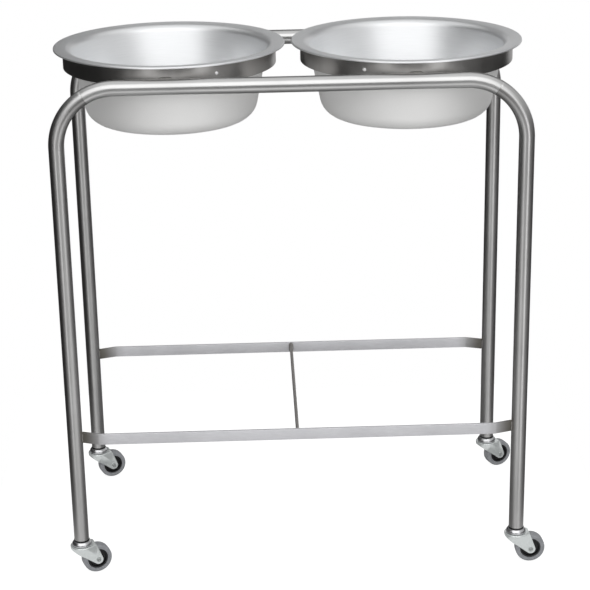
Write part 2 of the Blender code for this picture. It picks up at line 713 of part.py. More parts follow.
def main():
    clear_scene()
    tube_steel = finish("brushed_tube", (0.55, 0.55, 0.54), 0.32, 1.0)
    strip_steel = finish("strip_steel", (0.5, 0.5, 0.49), 0.35, 1.0)
    basin_steel = finish("satin_basin", (0.72, 0.72, 0.71), 0.36, 1.0)
    zinc = finish("zinc_plate", (0.6, 0.63, 0.62), 0.45, 0.9)
    chrome = finish("chrome", (0.8, 0.8, 0.82), 0.12, 1.0)
    black = finish("black_plastic", (0.02, 0.02, 0.022), 0.45, 0.0)
    rubber = finish("grey_rubber", (0.17, 0.175, 0.185), 0.6, 0.0)
    add_end_frames(tube_steel)
    add_hoops(strip_steel, chrome)
    add_basins(basin_steel)
    add_brace(strip_steel)
    add_casters(strip_steel, zinc, chrome, black, rubber)


main()
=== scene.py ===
# %% [markdown]
# # A double basin stand on casters
#
# The part already exists as plain solids with joints. This notebook loads those solids as a fixed
# frame, makes a finer visible piece for each of them, and lights the result like the photograph.
# Every visible piece rides on the body that carries its solid, so that it moves with the joints.

import math

import bmesh
import bpy
from mathutils import Matrix, Vector


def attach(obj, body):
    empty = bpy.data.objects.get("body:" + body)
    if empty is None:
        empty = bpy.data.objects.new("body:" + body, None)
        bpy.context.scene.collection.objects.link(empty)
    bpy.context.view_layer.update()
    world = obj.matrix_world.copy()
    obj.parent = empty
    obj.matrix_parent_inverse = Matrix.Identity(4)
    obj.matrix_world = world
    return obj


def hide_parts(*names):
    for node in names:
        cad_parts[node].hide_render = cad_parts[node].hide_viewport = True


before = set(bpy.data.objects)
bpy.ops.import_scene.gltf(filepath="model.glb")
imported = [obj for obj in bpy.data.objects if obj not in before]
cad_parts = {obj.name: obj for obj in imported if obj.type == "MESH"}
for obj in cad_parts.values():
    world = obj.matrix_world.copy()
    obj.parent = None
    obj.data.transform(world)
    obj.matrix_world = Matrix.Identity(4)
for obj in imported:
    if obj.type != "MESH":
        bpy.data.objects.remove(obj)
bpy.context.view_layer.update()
MM = 0.001

# %% [markdown]
# ## The camera
#
# The stand was photographed from about three metres away and from above the rim, a little left of
# its middle. A camera could be pointed by eye, but here its place, its turn and its lens come from a
# fit to the tubes' edges, so that the render can be laid over the photograph.

# %% Place the camera
CAMERA_PLACE = (-65.061 * MM, -2869.264 * MM, 1456.601 * MM)
CAMERA_YAW = 0.0242
CAMERA_PITCH = 0.343
CAMERA_ROLL = 0.0183
CAMERA_LENS = 105.83  # millimetres, as is the sensor's width
CAMERA_SENSOR = 36.0


def placed(name, data):
    """A new object in the scene, at the origin."""
    obj = bpy.data.objects.new(name, data)
    bpy.context.scene.collection.objects.link(obj)
    return obj


camera = placed("camera", bpy.data.cameras.new("camera"))
camera.data.sensor_width = CAMERA_SENSOR
camera.data.lens = CAMERA_LENS
turn = Matrix.Rotation(-CAMERA_YAW, 4, "Z")
turn = turn @ Matrix.Rotation(math.pi / 2 - CAMERA_PITCH, 4, "X")
turn = turn @ Matrix.Rotation(-CAMERA_ROLL, 4, "Z")
camera.matrix_world = Matrix.Translation(CAMERA_PLACE) @ turn
bpy.context.scene.camera = camera
bpy.context.scene.view_settings.view_transform = "Standard"
print("camera", round(Vector(CAMERA_PLACE).length, 3), "m from the origin")

# %% [markdown]
# ## Finishes
#
# Nearly everything here is steel, and steel is told apart by how it was worked: the tubes are drawn and
# polished, the basins are spun and then blasted to a satin, the casters are plated. One function can
# make all of these: stretched noise is the grain, and it changes the colour, the roughness and the
# height a little. On brushed pieces the noise reads a vector called "grain" that the mesh carries with
# it, because a plain position would run straight on where a tube bends.


# %% Helpers that add a node to any tree
def node(tree, kind, inputs=None, **settings):
    """Add a node, set its options, and give its inputs a value or a link."""
    made = tree.nodes.new(kind)
    for name, value in settings.items():
        setattr(made, name, value)
    for key, value in (inputs or {}).items():
        if isinstance(value, bpy.types.NodeSocket):
            tree.links.new(value, made.inputs[key])
        else:
            made.inputs[key].default_value = value
    return made


def maths(tree, operation, *values):
    """The result of a Math node."""
    return node(tree, "ShaderNodeMath", dict(enumerate(values)), operation=operation).outputs[0]


def vectors(tree, operation, *values):
    """The result of a Vector Math node: a vector, or a number for a dot product."""
    made = node(tree, "ShaderNodeVectorMath", dict(enumerate(values)), operation=operation)
    return made.outputs["Value" if operation == "DOT_PRODUCT" else "Vector"]


# %% Noise, ranges and colours
NOISE_RANGE = {"From Min": 0.3, "From Max": 0.7}  # where nearly all values of a noise lie


def noise(tree, vector, scale, detail=4.0):
    """Noise from 0 to 1, with its scale along each axis of the vector in features per metre."""
    mapped = node(tree, "ShaderNodeMapping", {"Vector": vector, "Scale": scale})
    made = node(tree, "ShaderNodeTexNoise", {"Vector": mapped.outputs[0], "Scale": 1.0, "Detail": detail})
    return made.outputs["Fac"]


def between(tree, factor, low, high):
    """Turn the usual range of a noise into a range of values."""
    inputs = {"Value": factor, **NOISE_RANGE, "To Min": low, "To Max": high}
    return node(tree, "ShaderNodeMapRange", inputs).outputs["Result"]


def tint(tree, factor, dark, light):
    """Mix two colours by a factor. Of a Mix node's sockets, 6, 7 and output 2 are for colours."""
    ends = [end if isinstance(end, bpy.types.NodeSocket) else (*end, 1.0) for end in (dark, light)]
    inputs = {"Factor": factor, 6: ends[0], 7: ends[1]}
    return node(tree, "ShaderNodeMix", inputs, data_type="RGBA").outputs[2]


# %% Heat tint, and painted shade and light at the seams
# How far the surface faces out of the bend where the painted shade on the inside gives way to the painted light
# on the outside
SEAM_EDGE = (0.06, 0.28)  # how far the surface faces out of the bend where the tone changes


def carried(tree, name):
    """A vector that the mesh carries."""
    return node(tree, "ShaderNodeAttribute", attribute_name=name).outputs["Vector"]


def smooth_step(tree, value, start, end):
    """0 up to the start, 1 from the end on, and smooth between them."""
    inputs = {"Value": value, "From Min": start, "From Max": end}
    return node(tree, "ShaderNodeMapRange", inputs, interpolation_type="SMOOTHSTEP").outputs["Result"]


def heat_tint_shade_and_light(tree, colour, reach, tone, outside=None):
    """Darken a colour towards the welded ends of a swept piece.

    With a second tone only the last end counts: there the first tone is painted shade on the side that
    faces into the bend, and the second tone is painted light on the outside of the bend.
    """
    end = node(tree, "ShaderNodeSeparateXYZ", {0: carried(tree, "end")}).outputs
    far = smooth_step(tree, end["Y" if outside else "X"], 0.0, reach)
    if outside:
        tone = tint(tree, smooth_step(tree, end["Z"], *SEAM_EDGE), tone, outside)
    return tint(tree, far, tone, colour)


# %% Worked metal
def new_finish(name, metallic):
    material = bpy.data.materials.new(name)
    material.use_nodes = True
    shader = material.node_tree.nodes["Principled BSDF"]
    shader.inputs["Metallic"].default_value = metallic
    return material, material.node_tree, shader


def worked_metal(name, dark, light, rough, stretch, cloud, relief, brushed=0.0, metallic=1.0, heat_shade_and_light=None):
    """Metal with a fine grain (stretch), larger clouds (cloud) and a little height (relief, metres)."""
    material, tree, shader = new_finish(name, metallic)
    place = node(tree, "ShaderNodeTexCoord").outputs["Object"]
    grain = noise(tree, carried(tree, "grain") if brushed else place, stretch)
    clouds = noise(tree, place, [cloud] * 3, detail=2.0)
    mean = maths(tree, "MULTIPLY", maths(tree, "ADD", grain, clouds), 0.5)
    bump = node(tree, "ShaderNodeBump", {"Height": grain, "Strength": 1.0, "Distance": relief})
    colour = tint(tree, between(tree, mean, 0.0, 1.0), dark, light)
    # Heat tint towards welded ends; at the seams painted shade on the inside of the bend and painted light on
    # the outside
    if heat_shade_and_light:
        colour = heat_tint_shade_and_light(tree, colour, *heat_shade_and_light)
    tree.links.new(colour, shader.inputs["Base Color"])
    tree.links.new(between(tree, grain, *rough), shader.inputs["Roughness"])
    tree.links.new(bump.outputs[0], shader.inputs["Normal"])
    if brushed:
        options = {"vector_type": "VECTOR", "convert_from": "OBJECT", "convert_to": "WORLD"}
        across = node(tree, "ShaderNodeVectorTransform", {0: carried(tree, "brush")}, **options)
        tree.links.new(across.outputs[0], shader.inputs["Tangent"])
        shader.inputs["Anisotropic"].default_value = brushed
    return material


# %% The steels and platings
# Grains are in features per metre along each axis, and heat tints and the seams' painted shade and light are a
# reach and one or two tones
EVEN_GRAIN = (900, 900, 900)
HOOP_GRAIN = (20, 160, 160)
SPUN_GRAIN = (700, 40, 40)
# At the seams the legs are painted darker on the side that faces into the bend, as painted shade, and lighter
# on the outside, as painted light that carries the rail's highlight on
SEAM_SHADE_AND_LIGHT = (85 * MM, (0.40, 0.395, 0.39), (0.70, 0.70, 0.695))
BAR_HEAT = (52 * MM, (0.18, 0.17, 0.15))
# What all tubes have in common, and all flat bars: grain, clouds, relief, brushing and how metallic
TUBE_WORK = (900, 900, 9), 14, 2e-6, 0.8, 1.0
FLAT_WORK = (700, 700, 90), 18, 3e-6, 0.5, 0.85
FLAT_ROUGH = (0.44, 0.54)
# Dark and light colour, roughness, then grain, clouds, relief, brushing, how metallic, and heat tint or painted
# shade and light
METALS = {
    "leg_tube": ((0.56, 0.555, 0.55), (0.68, 0.675, 0.67), (0.30, 0.38), *TUBE_WORK, SEAM_SHADE_AND_LIGHT),
    "rail_tube": ((0.66, 0.66, 0.655), (0.76, 0.76, 0.755), (0.28, 0.36), *TUBE_WORK),
    "strip_steel": ((0.72, 0.72, 0.745), (0.83, 0.83, 0.855), FLAT_ROUGH, *FLAT_WORK, BAR_HEAT),
    # The strut is the same flat bar as the others, painted darker and warmer as painted shade
    "shaded_strut_steel": ((0.42, 0.40, 0.385), (0.52, 0.50, 0.485), FLAT_ROUGH, *FLAT_WORK),
    "hoop_strip": ((0.44, 0.43, 0.42), (0.50, 0.49, 0.48), (0.32, 0.36), HOOP_GRAIN, 20, 1e-8, 0.6),
    "satin_basin": ((0.86, 0.87, 0.88), (0.93, 0.94, 0.95), (0.38, 0.46), SPUN_GRAIN, 10, 1e-6, 0.3, 0.88),
    "blasted_basin": ((0.87, 0.868, 0.86), (0.93, 0.928, 0.92), (0.56, 0.66), EVEN_GRAIN, 12, 4e-6, 0, 0.62),
    "zinc_plate": ((0.73, 0.765, 0.76), (0.83, 0.865, 0.86), (0.20, 0.26), EVEN_GRAIN, 120, 3e-6, 0, 0.62),
    # A darker copy of the zinc plate for the axle rivet: painted shade that takes the light off its dome
    "shaded_zinc": ((0.30, 0.315, 0.31), (0.40, 0.415, 0.41), (0.30, 0.38), EVEN_GRAIN, 150, 3e-6, 0, 0.5),
    "chrome": ((0.74, 0.745, 0.76), (0.82, 0.825, 0.84), (0.26, 0.33), EVEN_GRAIN, 150, 5e-7),
    # The hoop rivets' steel is near white and mostly not metallic, so the whole dome shows as a painted
    # highlight
    "rivet_painted_highlight": ((0.88, 0.88, 0.885), (0.94, 0.94, 0.945), (0.24, 0.30), EVEN_GRAIN, 150, 2e-7, 0, 0.35),
    "weld_bead": ((0.26, 0.25, 0.235), (0.44, 0.43, 0.415), (0.34, 0.50), EVEN_GRAIN, 260, 5e-6),
}
metals = {name: worked_metal(name, *values) for name, values in METALS.items()}
print("metals:", ", ".join(metals))

# %% [markdown]
# Rubber and plastic are not metals: their colour comes from inside and their gloss is faint. Both get a
# fine surface grain and clouds of colour, which on the tyres pass for a little dust.


# %% Rubber and plastic
def moulded(name, dark, light, rough, grain, cloud, relief):
    """A moulded material with clouds of colour and a fine surface grain."""
    material, tree, shader = new_finish(name, 0.0)
    place = node(tree, "ShaderNodeTexCoord").outputs["Object"]
    fine = noise(tree, place, [grain] * 3, detail=3.0)
    clouds = noise(tree, place, [cloud] * 3, detail=5.0)
    bump = node(tree, "ShaderNodeBump", {"Height": fine, "Strength": 1.0, "Distance": relief})
    tree.links.new(tint(tree, between(tree, clouds, 0.0, 1.0), dark, light), shader.inputs["Base Color"])
    tree.links.new(between(tree, clouds, *rough), shader.inputs["Roughness"])
    tree.links.new(bump.outputs[0], shader.inputs["Normal"])
    return material


black_plastic = moulded(
    "black_plastic", (0.007, 0.007, 0.008), (0.014, 0.014, 0.015), (0.38, 0.50), 2600, 220, 2e-5
)
grey_rubber = moulded(
    "grey_rubber", (0.21, 0.217, 0.23), (0.27, 0.276, 0.29), (0.55, 0.72), 1800, 180, 3e-5
)
print("moulded:", black_plastic.name, grey_rubber.name)

# %% [markdown]
# ## From shapes to pieces
#
# Four helpers are used all the way down. One closes a mesh and shades it: smooth, but for real edges.
# One spins a profile about Z, as a lathe would, and writes the grain into the mesh on the way. One shows
# a mesh as a piece of the stand: it puts the piece on the body that carries it and hides the solids that
# it stands for. A piece's object stays at the origin, and its place is in its mesh.
# The last one rounds the corners of a profile.

# %% Close and shade a mesh
MERGE = 0.002 * MM
SHARP_ANGLE = math.radians(38)


def shade(mesh):
    mesh.shade_smooth()
    mesh.set_sharp_from_angle(angle=SHARP_ANGLE)
    return mesh


def closed_mesh(bm, name, material):
    """Merge what coincides, point the faces outwards and make a mesh."""
    bmesh.ops.remove_doubles(bm, verts=bm.verts, dist=MERGE)
    bmesh.ops.recalc_face_normals(bm, faces=bm.faces)
    mesh = bpy.data.meshes.new(name)
    bm.to_mesh(mesh)
    bm.free()
    mesh.materials.append(material)
    return shade(mesh)


# %% Spin a profile
GRAIN_CIRCLE = 0.1  # radius of the circle that the grain of a spun piece runs on


def unit(vector):
    length = math.hypot(*vector)
    return vector[0] / length, vector[1] / length


def spun(profile, segments, name, material, inner=None, inner_from=0):
    """Spin (radius, height) points about Z. A profile that leaves the axis is joined into a ring.

    A second material takes over from one of the profile's points.
    """
    bm = bmesh.new()
    grain = bm.verts.layers.float_vector.new("grain")
    brush = bm.verts.layers.float_vector.new("brush")
    angles = [2 * math.pi * step / segments for step in range(segments)]
    circle = [(math.cos(angle), math.sin(angle)) for angle in angles]
    rings = []
    run = 0.0
    for index, (radius, height) in enumerate(profile):
        if index:
            run += math.dist(profile[index - 1], profile[index])
        before = profile[max(index - 1, 0)]
        after = profile[min(index + 1, len(profile) - 1)]
        out, up = unit((after[0] - before[0], after[1] - before[1]))
        ring = []
        for x, y in circle:
            vert = bm.verts.new((radius * x, radius * y, height))
            vert[grain] = (run, GRAIN_CIRCLE * x, GRAIN_CIRCLE * y)
            vert[brush] = (out * x, out * y, up)
            ring.append(vert)
        rings.append(ring)
    pairs = list(zip(rings, rings[1:]))
    if profile[0][0] > MERGE:
        pairs.append((rings[-1], rings[0]))
    for index, (lower, upper) in enumerate(pairs):
        for step in range(segments):
            ahead = (step + 1) % segments
            face = bm.faces.new((lower[step], lower[ahead], upper[ahead], upper[step]))
            face.material_index = 1 if inner and index >= inner_from else 0
    mesh = closed_mesh(bm, name, material)
    if inner:
        mesh.materials.append(inner)
    return mesh


# %% Show a piece
def show(name, mesh, body, slot, *nodes):
    """Show a mesh as a piece that rides on a body and stands for its CAD nodes."""
    piece = placed(name, mesh)
    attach(piece, body)
    if nodes:
        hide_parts(*nodes)
    return piece


def moved(mesh, matrix):
    """A copy of a mesh, put somewhere else."""
    copy = mesh.copy()
    copy.transform(matrix)
    return copy


# %% Round the corners of a profile
def on_circle(centre, radius, angle):
    return centre[0] + radius * math.cos(angle), centre[1] + radius * math.sin(angle)


def angle_from(centre, point):
    return math.atan2(point[1] - centre[1], point[0] - centre[0])


def rounded(points, radii, steps=6):
    """Round the inner corners of an open chain of 2-D points, one radius for each of them."""
    chain = [points[0]]
    for before, corner, after, radius in zip(points, points[1:], points[2:], radii):
        if radius == 0:
            chain.append(corner)
            continue
        back = unit((before[0] - corner[0], before[1] - corner[1]))
        ahead = unit((after[0] - corner[0], after[1] - corner[1]))
        half = math.acos(back[0] * ahead[0] + back[1] * ahead[1]) / 2
        middle = unit((back[0] + ahead[0], back[1] + ahead[1]))
        reach = radius / math.sin(half)
        cutback = radius / math.tan(half)
        centre = (corner[0] + middle[0] * reach, corner[1] + middle[1] * reach)
        start = angle_from(centre, (corner[0] + back[0] * cutback, corner[1] + back[1] * cutback))
        end = angle_from(centre, (corner[0] + ahead[0] * cutback, corner[1] + ahead[1] * cutback))
        sweep = (end - start + math.pi) % (2 * math.pi) - math.pi
        chain += [on_circle(centre, radius, start + sweep * step / steps) for step in range(steps + 1)]
    chain.append(points[-1])
    return chain


def mirrored_profile(half):
    """A profile that is the same below z = 0 as above it."""
    return half + [(radius, -height) for radius, height in reversed(half)]


# %% [markdown]
# ## The bent tubes
#
# Each end frame is a tube bent into an upside-down U, in three lengths: a rail and two legs, which meet
# in the bends, about 30 degrees round from the rail. A tube follows a path, so Geometry Nodes fit: the
# script gives only the path's points, and the tree sweeps a circle along it. The tree also writes three
# vectors on the mesh. The grain is the place on the section and the length run so far, so the pattern
# follows the bends. The brush is the way in which reflections are drawn out, and the end is how far it
# is to the path's ends and how far the surface faces out of the bend, for the heat tint and for the
# painted shade and light at the seams. Solidify then gives the tube its wall.


# %% Helpers for the trees
def new_tree(name, source, sizes):
    """A tree whose inputs are a named geometry, named sizes and a finish, and these inputs' sockets."""
    tree = bpy.data.node_groups.new(name, "GeometryNodeTree")
    tree.interface.new_socket(source, in_out="INPUT", socket_type="NodeSocketGeometry")
    for label, value in sizes.items():
        kind = "NodeSocketInt" if isinstance(value, int) else "NodeSocketFloat"
        tree.interface.new_socket(label, in_out="INPUT", socket_type=kind).default_value = value
    tree.interface.new_socket("Finish", in_out="INPUT", socket_type="NodeSocketMaterial")
    return tree, node(tree, "NodeGroupInput").outputs


def captured(tree, geometry, kind, value):
    """Keep a value on a curve, and return the curve and the value as it is later on the mesh."""
    keep = tree.nodes.new("GeometryNodeCaptureAttribute")
    keep.capture_items.new(kind, "value")
    tree.links.new(geometry, keep.inputs[0])
    tree.links.new(value, keep.inputs[1])
    return keep.outputs[0], keep.outputs[1]


def close_tree(tree, geometry, material):
    """Realize Instances, Set Material and the output."""
    real = node(tree, "GeometryNodeRealizeInstances", {"Geometry": geometry})
    painted = node(tree, "GeometryNodeSetMaterial", {"Geometry": real.outputs[0], "Material": material})
    tree.interface.new_socket("Mesh", in_out="OUTPUT", socket_type="NodeSocketGeometry")
    node(tree, "NodeGroupOutput", {0: painted.outputs[0]})
    return tree


def stored(tree, geometry, name, value):
    """Write a vector on a mesh under a name."""
    inputs = {"Geometry": geometry, "Name": name}
    store = node(tree, "GeometryNodeStoreNamedAttribute", inputs, data_type="FLOAT_VECTOR")
    tree.links.new(value, store.inputs["Value"])
    return store.outputs[0]


# %% A tree that sweeps a section along a path
PATH_END = 0.1 * MM  # a point of a path that is nearer than this to an end is the end


def sweep_tree(name, section, sizes, tube):
    """A tree that sweeps a section along the edges of its own mesh and writes grain, end and brush.

    A tube is open at both ends and only mustn't twist. A bar is closed and has to stay on edge.
    """
    tree, given = new_tree(name, "Path", sizes)
    path = node(tree, "GeometryNodeMeshToCurve", {0: given["Path"]}).outputs[0]
    held = "MINIMUM_TWIST" if tube else "Z_UP"
    path = node(tree, "GeometryNodeSetCurveNormal", {0: path}, mode=held).outputs[0]
    length = node(tree, "GeometryNodeSplineParameter").outputs["Length"]
    curve, run = captured(tree, path, "FLOAT", length)
    curve, ahead = captured(tree, curve, "VECTOR", node(tree, "GeometryNodeInputTangent").outputs[0])
    position = node(tree, "GeometryNodeInputPosition").outputs[0]
    profile, across = captured(tree, section(tree, given), "VECTOR", position)
    total = node(tree, "GeometryNodeSplineLength").outputs["Length"]
    left = maths(tree, "SUBTRACT", total, length)
    nearer = maths(tree, "MINIMUM", length, left)
    both_ends = node(tree, "ShaderNodeCombineXYZ", {"X": nearer, "Y": left}).outputs[0]
    curve, end = captured(tree, curve, "VECTOR", both_ends)
    inputs = {"Curve": curve, "Profile Curve": profile, "Fill Caps": not tube}
    if "End scale" in sizes:
        at_end = maths(tree, "LESS_THAN", nearer, PATH_END)
        scale = {"Value": at_end, "To Min": 1.0, "To Max": given["End scale"]}
        inputs["Scale"] = node(tree, "ShaderNodeMapRange", scale).outputs[0]
    mesh = node(tree, "GeometryNodeCurveToMesh", inputs).outputs[0]
    lengthwise = node(tree, "ShaderNodeCombineXYZ", {"Z": run}).outputs[0]
    mesh = stored(tree, mesh, "grain", vectors(tree, "ADD", across, lengthwise))
    # The third number of "end" is how far the surface faces out of the bend, which splits painted shade from
    # painted light at the seams
    out = node(tree, "GeometryNodeInputNormal").outputs[0]
    sideways = vectors(tree, "CROSS_PRODUCT", (0.0, 1.0, 0.0), ahead)
    lean = vectors(tree, "DOT_PRODUCT", out, sideways)
    side = maths(tree, "SIGN", node(tree, "ShaderNodeSeparateXYZ", {0: position}).outputs["X"])
    facing = maths(tree, "MULTIPLY", lean, side)
    third = node(tree, "ShaderNodeCombineXYZ", {"Z": facing}).outputs[0]
    mesh = stored(tree, mesh, "end", vectors(tree, "ADD", end, third))
    brush = ahead if tube else vectors(tree, "CROSS_PRODUCT", out, ahead)
    mesh = stored(tree, mesh, "brush", brush)
    return close_tree(tree, mesh, given["Finish"])


# %% From a tree to a plain mesh
def plain_mesh(obj):
    """The mesh of an object after its modifiers. The object itself is removed."""
    evaluated = obj.evaluated_get(bpy.context.evaluated_depsgraph_get())
    mesh = bpy.data.meshes.new_from_object(evaluated)
    bpy.data.objects.remove(obj, do_unlink=True)
    return mesh


def grown(name, tree, source, values, wall=0.0):
    """Run a tree on a source mesh, give it a wall if asked, and return a plain mesh."""
    obj = placed(name, source)
    modifier = obj.modifiers.new("shape", "NODES")
    modifier.node_group = tree
    for item in tree.interface.items_tree:
        if item.in_out == "INPUT" and item.name in values:
            modifier[item.identifier] = values[item.name]
    if wall:
        shell = obj.modifiers.new("wall", "SOLIDIFY")
        shell.thickness = wall
        shell.offset = -1.0
    mesh = plain_mesh(obj)
    mesh.name = name
    return shade(mesh)


def path_mesh(name, *paths):
    """One mesh of edges that follow the points of one or more paths."""
    points = []
    edges = []
    for path in paths:
        first = len(points)
        points += path
        edges += [(index, index + 1) for index in range(first, len(points) - 1)]
    mesh = bpy.data.meshes.new(name)
    mesh.from_pydata(points, edges, [])
    return mesh


# %% Sizes and paths of the tubes
TUBE_OD = 25.4 * MM
TUBE_WALL = 1.65 * MM
TUBE_SIDES = 64
TUBE_CHAMFER = 0.2 * MM  # broken edge at each end of a tube
TUBE_END = 65.9 * MM
HALF_LEGS = 749.3 * MM / 2
HALF_FRAMES = 381.0 * MM / 2
RAIL_HEIGHT = 851.8 * MM
BEND_RADIUS = 95.25 * MM
BEND_HEIGHT = RAIL_HEIGHT - BEND_RADIUS
BEND_STEPS = 28
END_STEP = TUBE_CHAMFER / BEND_RADIUS
SEAM = math.radians(60)  # round the bend, from the leg
SEAM_GAP = 0.06 * MM
SEAM_HALF_ANGLE = SEAM_GAP / 2 / BEND_RADIUS
TINT_RUN = 60 * MM  # a straight run has a point this far from its end, beyond the tint of a weld
SIDES = (("left", -1), ("right", 1))
ROWS = (("front", -1), ("rear", 1))


def tube_section(tree, given):
    circle = {"Resolution": TUBE_SIDES, "Radius": given["Outer radius"]}
    return node(tree, "GeometryNodeCurvePrimitiveCircle", circle).outputs[0]


def bend_points(side, start, end):
    """Points on the left (side -1) or right (1) bend, by the angle from the leg towards the rail."""
    angles = [start, start + END_STEP]
    angles += [start + (end - start) * step / BEND_STEPS for step in range(1, BEND_STEPS)]
    angles += [end - END_STEP, end]
    points = []
    for angle in angles:
        out = HALF_LEGS - BEND_RADIUS + BEND_RADIUS * math.cos(angle)
        points.append((side * out, 0, BEND_HEIGHT + BEND_RADIUS * math.sin(angle)))
    return points


def shifted(points, y):
    return [(point[0], point[1] + y, point[2]) for point in points]


# %% Sweep the tubes
tube_sizes = {"Outer radius": TUBE_OD / 2, "End scale": 1 - TUBE_CHAMFER / (TUBE_OD / 2)}
tube_tree = sweep_tree("tube_along_path", tube_section, tube_sizes, True)
rail_values = {**tube_sizes, "Finish": metals["rail_tube"]}
leg_values = {**tube_sizes, "Finish": metals["leg_tube"]}
for row, depth in ROWS:
    left_bend = bend_points(-1, SEAM + SEAM_HALF_ANGLE, math.pi / 2)
    right_bend = bend_points(1, SEAM + SEAM_HALF_ANGLE, math.pi / 2)
    source = path_mesh("rail_path", shifted(left_bend + right_bend[::-1], depth * HALF_FRAMES))
    mesh = grown(f"{row}_rail_tube", tube_tree, source, rail_values, TUBE_WALL)
    show(f"{row}_rail_tube", mesh, "frame_body", "brushed_tube", f"{row}_rail")
    for name, side in SIDES:
        foot = [(side * HALF_LEGS, 0, TUBE_END + up) for up in (0, TUBE_CHAMFER, TINT_RUN)]
        leg = foot + bend_points(side, 0, SEAM - SEAM_HALF_ANGLE)
        source = path_mesh("leg_path", shifted(leg, depth * HALF_FRAMES))
        mesh = grown(f"{row}_{name}_leg_tube", tube_tree, source, leg_values, TUBE_WALL)
        show(f"{row}_{name}_leg_tube", mesh, "frame_body", "brushed_tube", f"{row}_{name}_leg")
print("tubes: 6, the last with", len(mesh.polygons), "faces")

# %% [markdown]
# ## The hoops and their rivets
#
# Each basin hangs in a hoop of flat strip rolled on edge. A rolled strip is a ring, so its section is
# spun: four corners, each slightly rounded, because a razor-sharp edge never catches the light. One
# dome rivet at the front of each hoop closes the strip.

# %% Sizes of hoops and rivets
HOOP_SPACING = 395.9 * MM
HOOP_OUTER = 177.5 * MM
HOOP_INNER = 174.3 * MM
HOOP_BOTTOM = 849.5 * MM
HOOP_TOP = 881.25 * MM
HOOP_EDGE = 0.6 * MM
HOOP_SEGMENTS = 256
SECTION_GAP = 1.0 * MM  # the section is drawn as an open chain that ends this far below its start
EDGE_STEPS = 4
RIVET_ANGLE = math.radians(27)
RIVET_HEAD = 3.0 * MM
RIVET_RISE = 1.8 * MM
RIVET_NECK = 0.1 * MM
RIVET_TAIL = 2.5 * MM
RIVET_TAIL_RISE = 1.0 * MM
RIVET_SEGMENTS = 32
DOME_STEPS = 8
print("hoops", round(HOOP_SPACING / MM, 1), "mm apart")

# %% Spin the hoops and set the rivets
hoop_middle = (HOOP_TOP + HOOP_BOTTOM) / 2
hoop_section = [
    (HOOP_INNER, hoop_middle),
    (HOOP_INNER, HOOP_TOP),
    (HOOP_OUTER, HOOP_TOP),
    (HOOP_OUTER, HOOP_BOTTOM),
    (HOOP_INNER, HOOP_BOTTOM),
    (HOOP_INNER, hoop_middle - SECTION_GAP),
]
hoop_section = rounded(hoop_section, [HOOP_EDGE] * 4, EDGE_STEPS)
hoop = spun(hoop_section, HOOP_SEGMENTS, "hoop", metals["hoop_strip"])

rivet_profile = [(0, RIVET_RISE)]
for step in range(1, DOME_STEPS + 1):
    angle = math.pi / 2 * step / DOME_STEPS
    rivet_profile.append((RIVET_HEAD * math.sin(angle), RIVET_RISE * math.cos(angle)))
tail_end = HOOP_INNER - HOOP_OUTER - RIVET_TAIL_RISE
rivet_profile += [(RIVET_TAIL, -RIVET_NECK), (RIVET_TAIL, tail_end), (0, tail_end)]
# The rivet's near-white steel is a painted highlight
rivet = spun(rivet_profile, RIVET_SEGMENTS, "rivet", metals["rivet_painted_highlight"])
rivet.transform(Matrix.Translation((0, -HOOP_OUTER, hoop_middle)) @ Matrix.Rotation(math.pi / 2, 4, "X"))
for name, side in SIDES:
    put = Matrix.Translation((side * HOOP_SPACING / 2, 0, 0))
    turned = put @ Matrix.Rotation(-side * RIVET_ANGLE, 4, "Z")
    show(f"{name}_hoop_strip", moved(hoop, put), "frame_body", "strip_steel", f"{name}_hoop")
    show(f"{name}_hoop_dome_rivet", moved(rivet, turned), "frame_body", "chrome", f"{name}_hoop_rivet")
print("hoop", len(hoop.polygons), "faces, rivet", len(rivet.polygons))

# %% [markdown]
# ## The basins
#
# The basins are spun from sheet: a flat floor, a generous corner, a wall with a little draft, and a
# wide flange whose edge is turned down so that it isn't sharp. The outside is drawn as a chain of
# corners and the inside is the same chain shifted by the sheet's thickness, so the wall is even all the
# way. Both are rounded and spun together.

# %% Sizes of a basin
SHEET = 0.9 * MM
RIM_RADIUS = 385.0 * MM / 2
BODY_RADIUS = 330.0 * MM / 2
BASIN_DEPTH = 128.0 * MM
WALL_DRAFT = math.radians(11.5)
FLOOR_CORNER = 33.0 * MM
FLANGE_SLOPE = math.radians(4)
FLANGE_BEND = 12.0 * MM
LIP_DROP = 2.2 * MM
LIP_BEND = 1.8 * MM  # outside radius of the turned-down edge
BASIN_SEAT = 881.55 * MM
BASIN_SEGMENTS = 256
WALL_STEPS = 8


def offset_chain(points, distance):
    """Shift an open chain of 2-D points sideways, to its left, keeping its corners sharp."""
    directions = [unit((b[0] - a[0], b[1] - a[1])) for a, b in zip(points, points[1:])]
    result = []
    for index, point in enumerate(points):
        before = directions[max(index - 1, 0)]
        after = directions[min(index, len(directions) - 1)]
        normal = unit((-before[1] - after[1], before[0] + after[0]))
        stretch = distance / (normal[0] * -before[1] + normal[1] * before[0])
        result.append((point[0] + normal[0] * stretch, point[1] + normal[1] * stretch))
    return result


